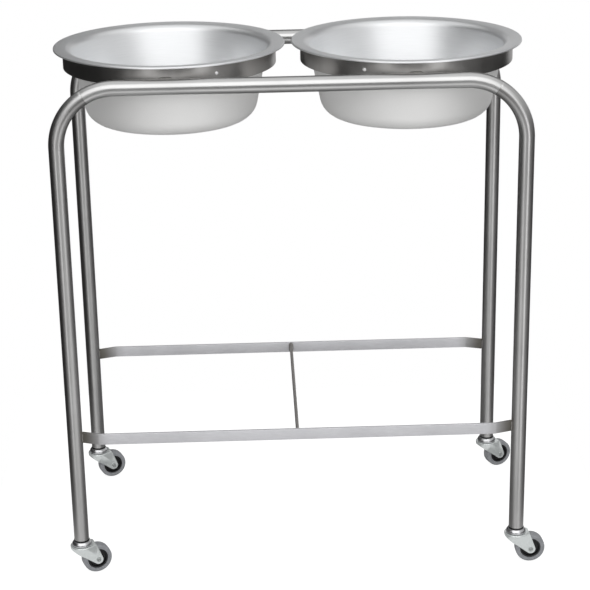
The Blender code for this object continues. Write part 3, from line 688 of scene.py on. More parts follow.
# %% Spin the basins
rise = math.tan(FLANGE_SLOPE)
edge = RIM_RADIUS - SHEET
rim_top = (edge - HOOP_INNER) * rise + SHEET / math.cos(FLANGE_SLOPE)
floor_height = rim_top - BASIN_DEPTH
flange_corner = (BODY_RADIUS, (BODY_RADIUS - HOOP_INNER) * rise)
floor_corner = (BODY_RADIUS - math.tan(WALL_DRAFT) * (flange_corner[1] - floor_height), floor_height)
rim_corner = (edge, (edge - HOOP_INNER) * rise)
lip_end = (edge, rim_corner[1] - LIP_DROP)
outside = [(0, floor_height), floor_corner, flange_corner, rim_corner, lip_end]
inside = offset_chain(outside, SHEET)
outside_radii = [FLOOR_CORNER, FLANGE_BEND, LIP_BEND - SHEET]
inside_radii = [FLOOR_CORNER - SHEET, FLANGE_BEND + SHEET, LIP_BEND]
profile = rounded(outside, outside_radii, WALL_STEPS)
lip = len(profile)
profile += list(reversed(rounded(inside, inside_radii, WALL_STEPS)))
basin = spun(profile, BASIN_SEGMENTS, "basin", metals["blasted_basin"], metals["satin_basin"], lip)
for name, side in SIDES:
    put = Matrix.Translation((side * HOOP_SPACING / 2, 0, BASIN_SEAT))
    show(f"{name}_basin_bowl", moved(basin, put), f"{name}_basin_body", "satin_basin", f"{name}_basin")
print("basin", len(basin.polygons), "faces, rim", round(inside[-1][0] * 2 / MM, 1), "mm across")

# %% [markdown]
# ## The H brace
#
# Two flat bars on edge run from leg to leg, with their ends bent in to meet the tubes, and a strut
# joins their middles. A bar follows a path too, so the same kind of tree makes it, with a section that
# has rounded corners. The bends come from rounding the path's corners.

# %% Sweep the brace bars
BAR_HEIGHT = 19.05 * MM
BAR_THICKNESS = 4.76 * MM
BAR_EDGE = 0.7 * MM
BRACE_HEIGHT = 255.7 * MM
BRACE_END_RUN = 29.0 * MM
BRACE_BOW = TUBE_OD / 2 - BAR_THICKNESS / 2
BRACE_BEND = 14.0 * MM
BRACE_BEND_STEPS = 8
WELD_GAP = 0.3 * MM


def bar_section(tree, given):
    sides = {"Width": given["Thickness"], "Height": given["Height"]}
    flat = node(tree, "GeometryNodeCurvePrimitiveQuadrilateral", sides, mode="RECTANGLE")
    inputs = {"Curve": flat.outputs[0], "Radius": given["Edge radius"], "Count": EDGE_STEPS}
    return node(tree, "GeometryNodeFilletCurve", inputs, mode="POLY").outputs[0]


bar_sizes = {"Thickness": BAR_THICKNESS, "Height": BAR_HEIGHT, "Edge radius": BAR_EDGE}
bar_tree = sweep_tree("bar_along_path", bar_section, bar_sizes, False)
bar_values = {**bar_sizes, "Finish": metals["strip_steel"]}
# The strut's darker steel is painted shade
strut_values = {**bar_sizes, "Finish": metals["shaded_strut_steel"]}
bar_end = HALF_LEGS - TUBE_OD / 2 - WELD_GAP
knee = bar_end - BRACE_END_RUN
half_plan = [(-bar_end, 0), (-knee, BRACE_BOW), (-knee + TINT_RUN, BRACE_BOW)]
plan = half_plan + [(-x, y) for x, y in reversed(half_plan)]
plan = rounded(plan, [BRACE_BEND, 0, 0, BRACE_BEND], BRACE_BEND_STEPS)
for row, depth in ROWS:
    path = [(x, depth * (HALF_FRAMES + y), BRACE_HEIGHT) for x, y in plan]
    mesh = grown(f"{row}_brace_flat", bar_tree, path_mesh("bar_path", path), bar_values)
    show(f"{row}_brace_flat", mesh, "frame_body", "strip_steel", f"{row}_brace_bar")
strut_end = HALF_FRAMES + BRACE_BOW - BAR_THICKNESS / 2 - WELD_GAP
path = [(0, y, BRACE_HEIGHT) for y in (-strut_end, 0, strut_end)]
mesh = grown("brace_strut_flat", bar_tree, path_mesh("strut_path", path), strut_values)
show("brace_strut_flat", mesh, "frame_body", "strip_steel", "brace_strut")
low = [round(min(vert.co[axis] for vert in mesh.vertices) / MM, 2) for axis in range(3)]
print("strut from", low, "mm,", len(mesh.polygons), "faces")

# %% [markdown]
# ## The welds
#
# The stand is welded where strip meets tube or strip. A weld bead is a row of small overlapping pools,
# so it is a thick line with ripples. Here too a tree does the work: each short path is cut into fine steps, and
# the size of the section rises and falls along it, and tapers at both ends.

# %% A tree for weld beads
BEAD_STEP = 0.5 * MM
BEAD_PITCH = 2.2 * MM
BEAD_SIDES = 14
BEAD_VALLEY = 0.84  # the bead's size between two pools, as a share of its radius
BEAD_TIP = 0.45  # its size at the ends
BEAD_TAPER = 0.45  # how far along a half wave it reaches its full size


def bead_tree(sizes):
    tree, given = new_tree("weld_bead_along_path", "Path", sizes)
    path = node(tree, "GeometryNodeMeshToCurve", {0: given["Path"]}).outputs[0]
    fine = node(tree, "GeometryNodeResampleCurve", {"Curve": path, "Length": BEAD_STEP}, mode="LENGTH")
    spline = node(tree, "GeometryNodeSplineParameter").outputs
    pools = maths(tree, "DIVIDE", spline["Length"], given["Pitch"])
    wave = maths(tree, "SINE", maths(tree, "MULTIPLY", pools, math.pi))
    ripple = maths(tree, "ABSOLUTE", wave)
    swell = node(tree, "ShaderNodeMapRange", {"Value": ripple, "To Min": BEAD_VALLEY, "To Max": 1.0})
    arch = maths(tree, "SINE", maths(tree, "MULTIPLY", spline["Factor"], math.pi))
    ends = node(tree, "ShaderNodeMapRange", {"Value": arch, "From Max": BEAD_TAPER, "To Min": BEAD_TIP})
    size = maths(tree, "MULTIPLY", swell.outputs[0], ends.outputs[0])
    ring = {"Resolution": BEAD_SIDES, "Radius": given["Bead radius"]}
    section = node(tree, "GeometryNodeCurvePrimitiveCircle", ring).outputs[0]
    inputs = {"Curve": fine.outputs[0], "Profile Curve": section, "Fill Caps": True, "Scale": size}
    swept = node(tree, "GeometryNodeCurveToMesh", inputs)
    return close_tree(tree, swept.outputs[0], given["Finish"])


# %% Lay the beads
HOOP_BEAD_HALF = 11.0 * MM
HOOP_BEAD_STEPS = 6
HOOP_BEAD_HEIGHT = 862.0 * MM
HOOP_BEAD_RADIUS = 3.2 * MM
HOOP_BEAD_OUT = 2.2 * MM
BAR_BEAD_RADIUS = 1.5 * MM
BAR_BEAD_OFFSET = (0.4 * MM, 0.5 * MM)  # past the bar's end, and out from its face
STRUT_BEAD_OFFSET = (-0.3 * MM, 0.4 * MM)


def upright_bead(x, y):
    half = BAR_HEIGHT / 2 - BAR_BEAD_RADIUS
    return [(x, y, BRACE_HEIGHT + up) for up in (-half, 0, half)]


hoop_beads = []
bar_beads = []
for name, side in SIDES:
    for row, depth in ROWS:
        bead = []
        for step in range(HOOP_BEAD_STEPS + 1):
            x = HOOP_BEAD_HALF * (2 * step / HOOP_BEAD_STEPS - 1)
            y = math.sqrt(HOOP_OUTER ** 2 - x ** 2) + HOOP_BEAD_OUT
            bead.append((side * HOOP_SPACING / 2 + x, depth * y, HOOP_BEAD_HEIGHT))
        hoop_beads.append(bead)
        for across in (-1, 1):
            x = side * (bar_end + BAR_BEAD_OFFSET[0])
            y = depth * HALF_FRAMES + across * (BAR_THICKNESS / 2 + BAR_BEAD_OFFSET[1])
            bar_beads.append(upright_bead(x, y))
for row, depth in ROWS:
    for across in (-1, 1):
        x = across * (BAR_THICKNESS / 2 + STRUT_BEAD_OFFSET[1])
        bar_beads.append(upright_bead(x, depth * (strut_end + STRUT_BEAD_OFFSET[0])))
bead_sizes = {"Bead radius": BAR_BEAD_RADIUS, "Pitch": BEAD_PITCH}
beads = bead_tree(bead_sizes)
rows_of_beads = {"hoop": (hoop_beads, HOOP_BEAD_RADIUS), "brace": (bar_beads, BAR_BEAD_RADIUS)}
for name, (paths, radius) in rows_of_beads.items():
    values = {**bead_sizes, "Bead radius": radius, "Finish": metals["weld_bead"]}
    mesh = grown(f"{name}_welds", beads, path_mesh("bead_paths", *paths), values)
    show(f"{name}_welds", mesh, "frame_body", "strip_steel")
    print(name, "welds:", len(paths), "beads,", len(mesh.polygons), "faces")

# %% [markdown]
# ## The casters
#
# Four swivel casters carry the stand. Each is made once, about its own swivel axis or its own axle, and
# copied to the four corners. What is fixed to the leg is the black socket, the bright race and the
# stem. The fork, the rivet with its bush and the bearing balls turn with the swivel, and the hub and the
# tyre roll. Nearly all of it is round, so it is spun.

# %% Sizes of a caster
AXLE_HEIGHT = 25.4 * MM
CASTER_TRAIL = 24.5 * MM
CROWN_UNDERSIDE = 52.1 * MM
CROWN_TOP = 54.4 * MM
BALL_SEAT = 54.8 * MM
BALL_CENTRE = 57.3 * MM
RACE_CEILING = 59.8 * MM
RACE_TOP = 63.1 * MM
SOCKET_UNDERSIDE = 63.4 * MM
FORK_INNER = 10.8 * MM
FORK_OUTER = 13.1 * MM
FORK_PLATE = FORK_OUTER - FORK_INNER
FIT_GAP = 0.3 * MM  # between pieces that sit in each other
CASTER_SEGMENTS = 72
PIN_SEGMENTS = 40
CASTER_ANGLES = {"front_left": 22, "front_right": 3, "rear_left": 22, "rear_right": 22}  # degrees
CORNERS = {f"{row}_{name}": (side, depth) for row, depth in ROWS for name, side in SIDES}
print("casters at", ", ".join(CORNERS))

# %% Sizes of socket, race and stem
STEM_RADIUS = 5.5 * MM
STEM_BORE = STEM_RADIUS + FIT_GAP
STEM_TOP = TUBE_END + 38 * MM
STEM_HEAD_RADIUS = 8.0 * MM
STEM_HEAD_TOP = CROWN_UNDERSIDE - FIT_GAP
STEM_HEAD_UNDERSIDE = STEM_HEAD_TOP - 2.0 * MM
SLEEVE_RADIUS = TUBE_OD / 2 - TUBE_WALL - FIT_GAP
SLEEVE_TOP = TUBE_END + 45 * MM
SOCKET_RADIUS = 13.3 * MM
RACE_SHOULDER = 13.6 * MM
RACE_WAIST = (16.4 * MM, RACE_TOP - 3.2 * MM)
RACE_RADIUS = 17.0 * MM
RACE_BULGE = 57.6 * MM
RACE_LIP = BALL_SEAT + 0.8 * MM
RACE_INNER = 15.4 * MM


def metres(*millimetres):
    return [value * MM for value in millimetres]


# %% Spin socket, race and stem
socket_profile = [
    (STEM_BORE, SLEEVE_TOP),
    (SLEEVE_RADIUS, SLEEVE_TOP),
    (SLEEVE_RADIUS, TUBE_END - FIT_GAP),
    (SOCKET_RADIUS, TUBE_END - FIT_GAP),
    (SOCKET_RADIUS, SOCKET_UNDERSIDE),
    (STEM_BORE, SOCKET_UNDERSIDE),
]
socket_profile = rounded(socket_profile, metres(0.5, 0, 0.7, 0.7), EDGE_STEPS)
socket_ring = spun(socket_profile, CASTER_SEGMENTS, "socket", black_plastic)

race_profile = [
    (STEM_BORE, RACE_TOP),
    (RACE_SHOULDER, RACE_TOP),
    RACE_WAIST,
    (RACE_RADIUS, RACE_BULGE),
    (RACE_RADIUS, RACE_LIP),
    (RACE_INNER, RACE_LIP),
    (RACE_INNER, RACE_CEILING),
    (STEM_BORE, RACE_CEILING),
]
race_profile = rounded(race_profile, metres(1.6, 4.0, 2.0, 0.6, 0.6, 0.8))
race_cup = spun(race_profile, CASTER_SEGMENTS, "race", metals["chrome"])

stem_profile = [
    (0, STEM_TOP),
    (STEM_RADIUS, STEM_TOP),
    (STEM_RADIUS, STEM_HEAD_TOP),
    (STEM_HEAD_RADIUS, STEM_HEAD_TOP),
    (STEM_HEAD_RADIUS, STEM_HEAD_UNDERSIDE),
    (0, STEM_HEAD_UNDERSIDE),
]
stem_profile = rounded(stem_profile, metres(1.0, 0, 0.4, 0.9), EDGE_STEPS)
stem_pin = spun(stem_profile, PIN_SEGMENTS, "stem", metals["zinc_plate"])
print("socket, race and stem:", [len(mesh.polygons) for mesh in (socket_ring, race_cup, stem_pin)], "faces")

# %% Hub, tyre, axle and bush
AXLE_RADIUS = 3.0 * MM
AXLE_BORE = AXLE_RADIUS + FIT_GAP
BUSH_RADIUS = 4.8 * MM
BUSH_HALF = FORK_INNER - FIT_GAP
WHEEL_STEPS = 5
TYRE_SEGMENTS = 96
# Halves of three profiles in millimetres, as radius and height: for the rivet's head the height above
# the fork, for hub and tyre above the wheel's middle
HEAD_HALF = ((0, 1.2), (1.3, 1.25), (2.0, 2.1), (3.8, 1.5), (3.8, 0.15))
HUB_HALF = ((5.1, 10.3), (7.8, 10.3), (8.6, 3.5), (14.9, 3.5), (15.3, 8.5), (17.5, 8.5), (17.5, 0))
TYRE_SIDE = ((17.8, 9.0), (18.2, 9.7), (19.6, 9.9), (20.2, 9.5), (20.8, 9.9), (22.8, 9.9))
TYRE_TREAD = ((25.2, 7.6), (25.4, 0.35), (25.4, 0))

axle_half = [(radius * MM, FORK_OUTER + height * MM) for radius, height in HEAD_HALF]
axle_half += [(AXLE_RADIUS, axle_half[-1][1]), (AXLE_RADIUS, 0)]
axle_half = rounded(axle_half, metres(0.5, 0.5, 0.9, 0.2, 0), WHEEL_STEPS)
# The axle rivet's darker zinc is painted shade
axle_rivet = spun(mirrored_profile(axle_half), PIN_SEGMENTS, "axle", metals["shaded_zinc"])

bush_half = [(AXLE_BORE, BUSH_HALF), (BUSH_RADIUS, BUSH_HALF)]
bush_tube = spun(mirrored_profile(bush_half), PIN_SEGMENTS, "bush", metals["zinc_plate"])

hub_half = rounded([metres(*point) for point in HUB_HALF], metres(0.6, 1.4, 1.2, 0.5, 0.4), EDGE_STEPS)
hub = spun(mirrored_profile(hub_half), CASTER_SEGMENTS, "hub", black_plastic)

tyre_half = [metres(*point) for point in TYRE_SIDE + TYRE_TREAD]
tyre_half = rounded(tyre_half, metres(0.5, 0.5, 0.3, 0.4, 2.2, 2.2, 0), WHEEL_STEPS)
tyre = spun(mirrored_profile(tyre_half), TYRE_SEGMENTS, "tyre", grey_rubber)
print("axle, bush, hub and tyre:", [len(m.polygons) for m in (axle_rivet, bush_tube, hub, tyre)], "faces")

# %% [markdown]
# The bearing between race and fork is a ring of steel balls. Something that repeats on a circle is a
# case for instances: the tree puts one small sphere on each point of a circle.

# %% A tree for the bearing balls
BALLS = 14
BALL_RADIUS = 2.2 * MM
BALL_CIRCLE = 11.0 * MM
BALL_DETAIL = 3


def ball_tree(sizes):
    tree, given = new_tree("balls_on_circle", "Base", sizes)
    circle = {"Vertices": given["Balls"], "Radius": given["Circle radius"]}
    ring = node(tree, "GeometryNodeMeshCircle", circle).outputs[0]
    sphere = {"Radius": given["Ball radius"], "Subdivisions": BALL_DETAIL}
    ball = node(tree, "GeometryNodeMeshIcoSphere", sphere).outputs[0]
    copies = node(tree, "GeometryNodeInstanceOnPoints", {"Points": ring, "Instance": ball})
    return close_tree(tree, copies.outputs[0], given["Finish"])


ball_sizes = {"Ball radius": BALL_RADIUS, "Circle radius": BALL_CIRCLE, "Balls": BALLS}
ball_values = {**ball_sizes, "Finish": metals["chrome"]}
balls = grown("balls", ball_tree(ball_sizes), bpy.data.meshes.new("base"), ball_values)
balls.transform(Matrix.Translation((0, 0, BALL_CENTRE)))
print("balls:", len(balls.polygons), "faces")

# %% [markdown]
# The fork is pressed from one plate. From above its crown is round, towards the rear it runs out to
# two corners, and downwards it narrows into two flat cheeks with a round tip at the axle. A ruled shape
# like this is the convex hull of a few outlines at different heights. The side view then trims it, and
# a smaller hull hollows it out. Booleans do the cutting.

# %% Outlines of the fork
CROWN_RADIUS = 20.0 * MM
CROWN_EDGE = 1.6 * MM
NECK = CROWN_TOP - 21.0 * MM
NOSE_REACH = 18.0 * MM
FRONT_DROP = 4.5 * MM
REAR_REACH = 21.5 * MM
TIP_RADIUS = 8.0 * MM
FINE_STEPS = 24
RING_SIDES = 4 * FINE_STEPS


def ring_points(radius, sides=RING_SIDES):
    return [on_circle((0, 0), radius, 2 * math.pi * step / sides) for step in range(sides)]


def nose_outline(half_width, front, rear):
    """A plan outline with straight sides, a square rear end and a half-round front."""
    outline = [(rear, half_width)]
    for step in range(2 * FINE_STEPS + 1):
        angle = math.pi / 2 * (1 + step / FINE_STEPS)
        outline.append(on_circle((front + half_width, 0), half_width, angle))
    outline.append((rear, -half_width))
    return outline


def touch_angle(point, centre, radius, way):
    """The angle on a circle where a line from a point touches it."""
    return angle_from(centre, point) + way * math.acos(radius / math.dist(centre, point))


def side_outline(front, above):
    """The fork from the side, in (x, z)."""
    tip = (CASTER_TRAIL, AXLE_HEIGHT)
    front_corner = (front, CROWN_TOP - FRONT_DROP)
    rear_corner = (REAR_REACH, above)
    start = touch_angle(front_corner, tip, TIP_RADIUS, 1)
    end = touch_angle(rear_corner, tip, TIP_RADIUS, -1)
    sweep = (end - start) % (2 * math.pi)
    outline = [rear_corner, (front, above), front_corner]
    for step in range(FINE_STEPS + 1):
        outline.append(on_circle(tip, TIP_RADIUS, start + sweep * step / FINE_STEPS))
    return outline


# %% Hulls, prisms and cuts
def hull(rings, name):
    """The convex solid round several rings of (x, y) points at given heights."""
    bm = bmesh.new()
    for ring, height in rings:
        for x, y in ring:
            bm.verts.new((x, y, height))
    result = bmesh.ops.convex_hull(bm, input=bm.verts)
    spare = {*result["geom_interior"], *result["geom_unused"]}
    bmesh.ops.delete(bm, geom=[item for item in spare if isinstance(item, bmesh.types.BMVert)])
    return closed_mesh(bm, name, metals["zinc_plate"])


def prism(outline, low, high, name, axis="Z"):
    """Extrude an outline along Z, or an outline in (x, z) along Y."""
    bm = bmesh.new()
    rings = []
    for level in (low, high):
        points = [(a, level, b) if axis == "Y" else (a, b, level) for a, b in outline]
        rings.append([bm.verts.new(point) for point in points])
    for index in range(len(outline)):
        ahead = (index + 1) % len(outline)
        bm.faces.new((rings[0][index], rings[0][ahead], rings[1][ahead], rings[1][index]))
    for ring in rings:
        bm.faces.new(ring)
    return closed_mesh(bm, name, metals["zinc_plate"])


def cut(mesh, cutters, operation):
    """Apply one Boolean after another to a mesh."""
    obj = placed("work", mesh)
    tools = [placed("tool", cutter) for cutter in cutters]
    for tool in tools:
        modifier = obj.modifiers.new("cut", "BOOLEAN")
        modifier.operation = operation
        modifier.solver = "EXACT"
        modifier.object = tool
    result = plain_mesh(obj)
    for tool in tools:
        bpy.data.objects.remove(tool, do_unlink=True)
    return result


# %% Press the fork
CROWN_EDGE_STEPS = 6
STEM_HOLE_SIDES = 48

fork_bottom = AXLE_HEIGHT - 2 * TIP_RADIUS
fork_rear = CASTER_TRAIL + 2 * TIP_RADIUS
inner_nose = -NOSE_REACH + FORK_PLATE
cheeks_plan = nose_outline(FORK_OUTER, -NOSE_REACH, fork_rear)
neck_plan = nose_outline(FORK_OUTER, -NOSE_REACH, REAR_REACH)
well_plan = nose_outline(FORK_INNER, inner_nose, 2 * fork_rear)
inner_plan = nose_outline(FORK_INNER, inner_nose, REAR_REACH)
crown_rings = [(ring_points(CROWN_RADIUS), CROWN_UNDERSIDE), (neck_plan, NECK)]
for step in range(CROWN_EDGE_STEPS + 1):
    angle = math.pi / 2 * step / CROWN_EDGE_STEPS
    inset = CROWN_EDGE * (1 - math.cos(angle))
    lift = CROWN_EDGE * math.sin(angle)
    corners = [(REAR_REACH, side * (FORK_OUTER - inset)) for side in (-1, 1)]
    crown_rings.append((ring_points(CROWN_RADIUS - inset), BALL_SEAT - CROWN_EDGE + lift))
    crown_rings.append((corners, CROWN_TOP - CROWN_EDGE + lift))
hollow_rings = [
    (ring_points(CROWN_RADIUS - FORK_PLATE), CROWN_UNDERSIDE),
    ([(REAR_REACH, -FORK_INNER), (REAR_REACH, FORK_INNER)], CROWN_UNDERSIDE),
    (inner_plan, NECK - FIT_GAP),
]
trim = side_outline(-CROWN_RADIUS - FIT_GAP, BALL_SEAT + FORK_PLATE)
axle_hole = [(CASTER_TRAIL + x, AXLE_HEIGHT + z) for x, z in ring_points(AXLE_BORE, PIN_SEGMENTS)]
stem_hole = ring_points(STEM_BORE, STEM_HOLE_SIDES)
cheeks = prism(cheeks_plan, fork_bottom, CROWN_TOP - CROWN_EDGE, "cheeks")
blank = cut(hull(crown_rings, "crown"), [cheeks], "UNION")
blank = cut(blank, [prism(trim, -2 * CROWN_RADIUS, 2 * CROWN_RADIUS, "trim", "Y")], "INTERSECT")
hollows = [
    prism(well_plan, fork_bottom - FORK_PLATE, CROWN_UNDERSIDE, "well"),
    hull(hollow_rings, "crown_hollow"),
    prism(stem_hole, CROWN_UNDERSIDE - FORK_PLATE, RACE_TOP, "stem_hole"),
    prism(axle_hole, -2 * FORK_OUTER, 2 * FORK_OUTER, "axle_hole", "Y"),
]
fork = shade(cut(blank, hollows, "DIFFERENCE"))
print("fork:", len(fork.polygons), "faces")

# %% Put the casters under the legs
# For each piece: its mesh, where it is put, its slot and the solid that it stands for
CASTER_PIECES = {
    "socket_ring": (socket_ring, "foot", "black_plastic", "socket"),
    "race_cup": (race_cup, "foot", "chrome", "race"),
    "stem_pin": (stem_pin, "foot", "strip_steel", "stem"),
    "balls": (balls, "swivel", "strip_steel", "ball_ring"),
    "fork_pressing": (fork, "swivel", "zinc_plate", "fork"),
    "axle_rivet": (axle_rivet, "axle", "zinc_plate", "axle"),
    "bush_tube": (bush_tube, "axle", "strip_steel", "bush"),
    "wheel_hub": (hub, "wheel", "black_plastic", "hub"),
    "wheel_tyre": (tyre, "wheel", "grey_rubber", "tyre"),
}
for corner, (x, y) in CORNERS.items():
    foot = Matrix.Translation((x * HALF_LEGS, y * HALF_FRAMES, 0))
    swivel = foot @ Matrix.Rotation(math.radians(CASTER_ANGLES[corner]), 4, "Z")
    axle = swivel @ Matrix.Translation((CASTER_TRAIL, 0, AXLE_HEIGHT)) @ Matrix.Rotation(math.pi / 2, 4, "X")
    places = {
        "foot": (foot, "frame_body"),
        "swivel": (swivel, f"{corner}_swivel"),
        "axle": (axle, f"{corner}_swivel"),
        "wheel": (axle, f"{corner}_wheel"),
    }
    for name, (mesh, place, slot, solid) in CASTER_PIECES.items():
        matrix, body = places[place]
        show(f"{corner}_{name}", moved(mesh, matrix), body, slot, f"{corner}_{solid}")
print("casters:", len(CORNERS), "of", len(CASTER_PIECES), "pieces each")

# %% [markdown]
# ## The studio
#
# Bare steel has hardly a colour of its own: it shows the room. The photograph has a white background,
# two pale streaks on each leg, dark edges, and basins that are pale outside because they see the white
# sheet on the floor. So the studio has a white world, a white sheet and soft lamps. Round these stands a
# room of plain glowing cards, which only reflections see: walls and a ceiling, a bright screen in front,
# and a floor in greys, with lighter lanes, fans and patches where the tubes have their streaks. The
# camera looks through all of that at the white world.

# %% White world
AMBIENT = 0.72
WHITE = (1.0, 1.0, 1.0, 1.0)


def emptied(block):
    """The node tree of a material or a world, with nothing in it."""
    block.use_nodes = True
    block.node_tree.nodes.clear()
    return block.node_tree


def seen_directly(tree):
    """1 for rays that show the background: to the camera, off metal or through glass."""
    rays = node(tree, "ShaderNodeLightPath").outputs
    two = maths(tree, "MAXIMUM", rays["Is Camera Ray"], rays["Is Glossy Ray"])
    return maths(tree, "MAXIMUM", two, rays["Is Transmission Ray"])


world = bpy.data.worlds.new("studio")
bpy.context.scene.world = world
tree = emptied(world)
ambient = node(tree, "ShaderNodeBackground", {"Color": WHITE, "Strength": AMBIENT}).outputs[0]
white = node(tree, "ShaderNodeBackground", {"Color": WHITE, "Strength": 1.0}).outputs[0]
mixed = node(tree, "ShaderNodeMixShader", {0: seen_directly(tree), 1: ambient, 2: white})
node(tree, "ShaderNodeOutputWorld", {"Surface": mixed.outputs[0]})
print("world:", len(tree.nodes), "nodes")

# %% Floor sheet
SHEET_GLOW = 0.88
PAPER = (0.85, 0.85, 0.85)
PAPER_UNDER_GLOW = (0.28, 0.28, 0.28)
SHEET_SIDE = 0.56
SHEET_FRONT = -0.36
SHEET_REAR = 0.6


def sheet_material():
    """White paper that keeps a faint shadow: most of what the camera sees is plain white."""
    material = bpy.data.materials.new("white_sheet")
    tree = emptied(material)
    seen = seen_directly(tree)
    strength = maths(tree, "MULTIPLY", seen, SHEET_GLOW)
    glow = node(tree, "ShaderNodeEmission", {"Color": WHITE, "Strength": strength})
    paper = node(tree, "ShaderNodeBsdfDiffuse", {"Color": tint(tree, seen, PAPER, PAPER_UNDER_GLOW)})
    both = node(tree, "ShaderNodeAddShader", {0: glow.outputs[0], 1: paper.outputs[0]})
    node(tree, "ShaderNodeOutputMaterial", {0: both.outputs[0]})
    return material


def level_corners(half_width, front, rear, height):
    """Corners of a level rectangle."""
    plan = ((-half_width, front), (half_width, front), (half_width, rear), (-half_width, rear))
    return [(x, y, height) for x, y in plan]


def card(name, corners, material):
    """A flat card in the studio, given by its corners."""
    mesh = bpy.data.meshes.new(name)
    mesh.from_pydata(corners, [], [tuple(range(len(corners)))])
    mesh.materials.append(material)
    obj = placed(name, mesh)
    return obj


card("floor_sheet", level_corners(SHEET_SIDE, SHEET_FRONT, SHEET_REAR, 0), sheet_material())
print("sheet", 2 * SHEET_SIDE, "by", SHEET_REAR - SHEET_FRONT, "m")


# %% Cards for reflections only
def glowing(name, grey):
    material = bpy.data.materials.new(name)
    tree = emptied(material)
    glow = node(tree, "ShaderNodeEmission", {"Color": (grey, grey, grey, 1.0), "Strength": 1.0})
    node(tree, "ShaderNodeOutputMaterial", {0: glow.outputs[0]})
    return material


def reflected_only(obj):
    obj.visible_camera = False
    obj.visible_diffuse = False
    obj.visible_shadow = False


def upright_corners(start, end, low, high):
    """Corners of an upright rectangle between two points in plan."""
    return [(*start, low), (*end, low), (*end, high), (*start, high)]


def slanted_corners(left, right, low, high):
    """Corners of a card between two x values and two (y, z) edges."""
    return [(left, *low), (right, *low), (right, *high), (left, *high)]


# %% The floor in greys
FLOOR_LEVEL = 0.4 * MM  # a hair above the paper, so that metal sees grey there and the camera white
FLOOR_LAYER = 0.1 * MM  # cards that overlap lie this far above each other
FAN_LAYER = 1.5
LANE_LAYER = 2
PATCH_LAYER = 2.5
FAN_NEAR = 0.3
FAN_FAR = 3.0


def layer_height(layer):
    return FLOOR_LEVEL + layer * FLOOR_LAYER


def floor_strip(half_width, front, rear, layer):
    return level_corners(half_width, front, rear, layer_height(layer))


def floor_fan(side, start, end):
    """A wedge of floor beside a front leg, between two angles from straight ahead, in degrees."""
    corners = []
    for angle, reach in ((start, FAN_NEAR), (end, FAN_NEAR), (end, FAN_FAR), (start, FAN_FAR)):
        x = HALF_LEGS + reach * math.sin(math.radians(angle))
        y = HALF_FRAMES + reach * math.cos(math.radians(angle))
        corners.append((side * x, -y, layer_height(FAN_LAYER)))
    return corners


# %% Cards in the middle
ROOM_SIDE = 3.0
ROOM_FRONT = -5.5
ROOM_REAR = 2.6
ROOM_TOP = 4.2
REAR_ENDS = (-ROOM_SIDE, ROOM_REAR), (ROOM_SIDE, ROOM_REAR)
REAR_SEAMS = (-0.5, ROOM_REAR), (0.35, ROOM_REAR)

# Each card has a grey and corners
cards = {
    "dark_floor": (0.03, floor_strip(ROOM_SIDE, ROOM_FRONT, ROOM_REAR, 0)),
    "under_floor": (0.14, floor_strip(0.75, -0.4, 0.7, 1)),
    "near_floor": (0.28, floor_strip(0.75, -0.66, -0.4, 1)),
    "middle_floor": (0.32, floor_strip(0.75, -1.25, -0.66, 1)),
    "front_floor": (0.3, floor_strip(0.9, -1.9, -1.25, 1)),
    "far_floor": (0.07, floor_strip(1.2, ROOM_FRONT, -1.9, 1)),
    "bright_near_floor": (0.42, floor_strip(0.28, -0.62, -0.28, 2)),
    "bright_floor": (0.92, floor_strip(0.28, -1.35, -0.62, 2)),
    "front_wall": (0.1, upright_corners((-ROOM_SIDE, ROOM_FRONT), (ROOM_SIDE, ROOM_FRONT), 0, 1.5)),
    "rear_left_wall": (0.02, upright_corners(REAR_ENDS[0], REAR_SEAMS[0], 0, 1.65)),
    "rear_middle_wall": (0.05, upright_corners(*REAR_SEAMS, 0, 1.25)),
    "rear_right_wall": (0.6, upright_corners(REAR_SEAMS[1], REAR_ENDS[1], 0, 1.25)),
    "rear_bright_wall": (0.75, upright_corners(REAR_SEAMS[0], REAR_ENDS[1], 1.25, 1.65)),
    "rear_grey_wall": (0.36, upright_corners(*REAR_ENDS, 1.65, 1.95)),
    "rear_high_wall": (0.02, upright_corners(*REAR_ENDS, 1.95, 2.5)),
    "front_screen": (1.45, slanted_corners(-2.8, 2.2, (-3.4, 1.5), (-1.6, 3.6))),
    "ceiling": (0.78, slanted_corners(-ROOM_SIDE, ROOM_SIDE, (-1.6, ROOM_TOP), (1.2, ROOM_TOP))),
    "rear_low_slope": (0.08, slanted_corners(-ROOM_SIDE, ROOM_SIDE, (2.0, 3.23), (ROOM_REAR, 2.5))),
    "rear_high_slope": (0.6, slanted_corners(-ROOM_SIDE, ROOM_SIDE, (1.2, ROOM_TOP), (2.0, 3.23))),
}
print("cards in the middle:", len(cards))

# %% Cards on both sides
SIDE_LOW = 1.0  # up to here the side walls are nearly black
SIDE_LOW_GREY = 0.02
SIDE_SEAM = -1.2
SIDE_GREYS = {"left": (0.1, 0.03), "right": (0.56, 0.48)}  # towards the front and the rear
# A fan has two angles and a grey, a streak its place and a grey
FANS = {
    "left": ((28, 50, 0.3), (50, 70, 0.14)),
    "right": ((28, 58, 0.42), (58, 85, 0.22), (85, 115, 0.1)),
}
STREAKS = {"left": (-1.26, -2.9, 0.9), "right": (1.36, -2.14, 1.15)}
STREAK_HALF = 0.45
STREAK_TOP = 1.5
LANE_START = -0.6
LANE_EDGES = (0.42, 0.62)
PATCH_GREY = 0.6
PATCH_EDGES = (0.3, 0.52)
PATCH_FRONT = -0.45
PATCH_REAR = 0.15

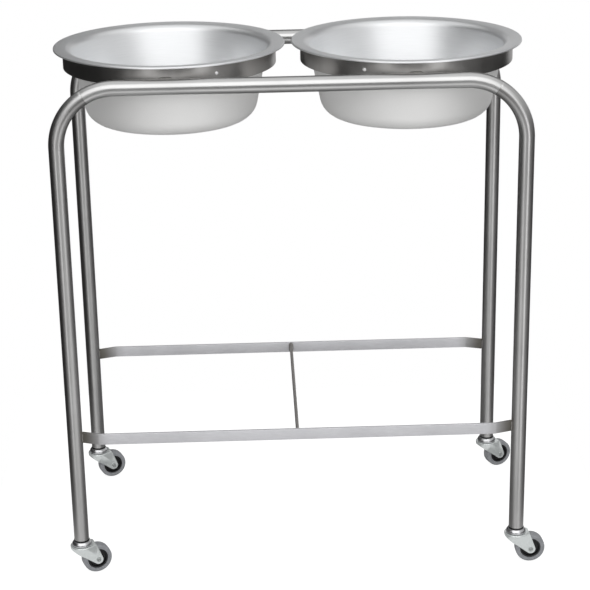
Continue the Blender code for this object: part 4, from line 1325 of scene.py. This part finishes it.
for name, side in SIDES:
    front, middle, rear = [(side * ROOM_SIDE, y) for y in (ROOM_FRONT, SIDE_SEAM, ROOM_REAR)]
    front_grey, rear_grey = SIDE_GREYS[name]
    cards[f"{name}_low_wall"] = (SIDE_LOW_GREY, upright_corners(front, rear, 0, SIDE_LOW))
    cards[f"{name}_front_wall"] = (front_grey, upright_corners(front, middle, SIDE_LOW, ROOM_TOP))
    cards[f"{name}_rear_wall"] = (rear_grey, upright_corners(middle, rear, SIDE_LOW, ROOM_TOP))
    for start, end, grey in FANS[name]:
        cards[f"{name}_fan_{start}"] = (grey, floor_fan(side, start, end))
    x, y, grey = STREAKS[name]
    lane = [(side * edge, LANE_START, layer_height(LANE_LAYER)) for edge in LANE_EDGES]
    lane += [(x + way * side * STREAK_HALF, y, layer_height(LANE_LAYER)) for way in (1, -1)]
    cards[f"{name}_lane"] = (grey, lane)
    inner, outer = [side * edge for edge in PATCH_EDGES]
    patch = ((inner, PATCH_FRONT), (outer, PATCH_FRONT), (outer, PATCH_REAR), (inner, PATCH_REAR))
    cards[f"{name}_rear_leg_floor"] = (PATCH_GREY, [(*corner, layer_height(PATCH_LAYER)) for corner in patch])
    ends = (x - STREAK_HALF, y), (x + STREAK_HALF, y)
    cards[f"{name}_streak"] = (grey, upright_corners(*ends, 0, STREAK_TOP))
for name, (grey, corners) in cards.items():
    reflected_only(card(name, corners, glowing(name, grey)))
print("cards:", ", ".join(cards))

# %% Lamps
LAMP_AIM = (0, 0, 0.8)
# Place, width and height in metres, power in watts, and whether metal mirrors the lamp
LAMPS = {
    "left_softbox": ((-1.3, -2.9, 1.7), 1.2, 1.6, 9, False),
    "right_softbox": ((1.4, -2.15, 1.7), 1.2, 1.6, 9, False),
    "top_softbox": ((0.0, -1.4, 2.7), 2.4, 1.3, 10, False),
    "key_softbox": ((0.1, -3.2, 2.1), 1.8, 0.9, 12, True),
}
for name, (place, width, height, power, mirrored) in LAMPS.items():
    lamp = bpy.data.lights.new(name, "AREA")
    lamp.shape = "RECTANGLE"
    lamp.size = width
    lamp.size_y = height
    lamp.energy = power
    obj = placed(name, lamp)
    obj.location = place
    obj.rotation_euler = (Vector(LAMP_AIM) - Vector(place)).to_track_quat("-Z", "Y").to_euler()
    obj.visible_camera = False
    obj.visible_glossy = mirrored
print("lamps:", ", ".join(LAMPS))
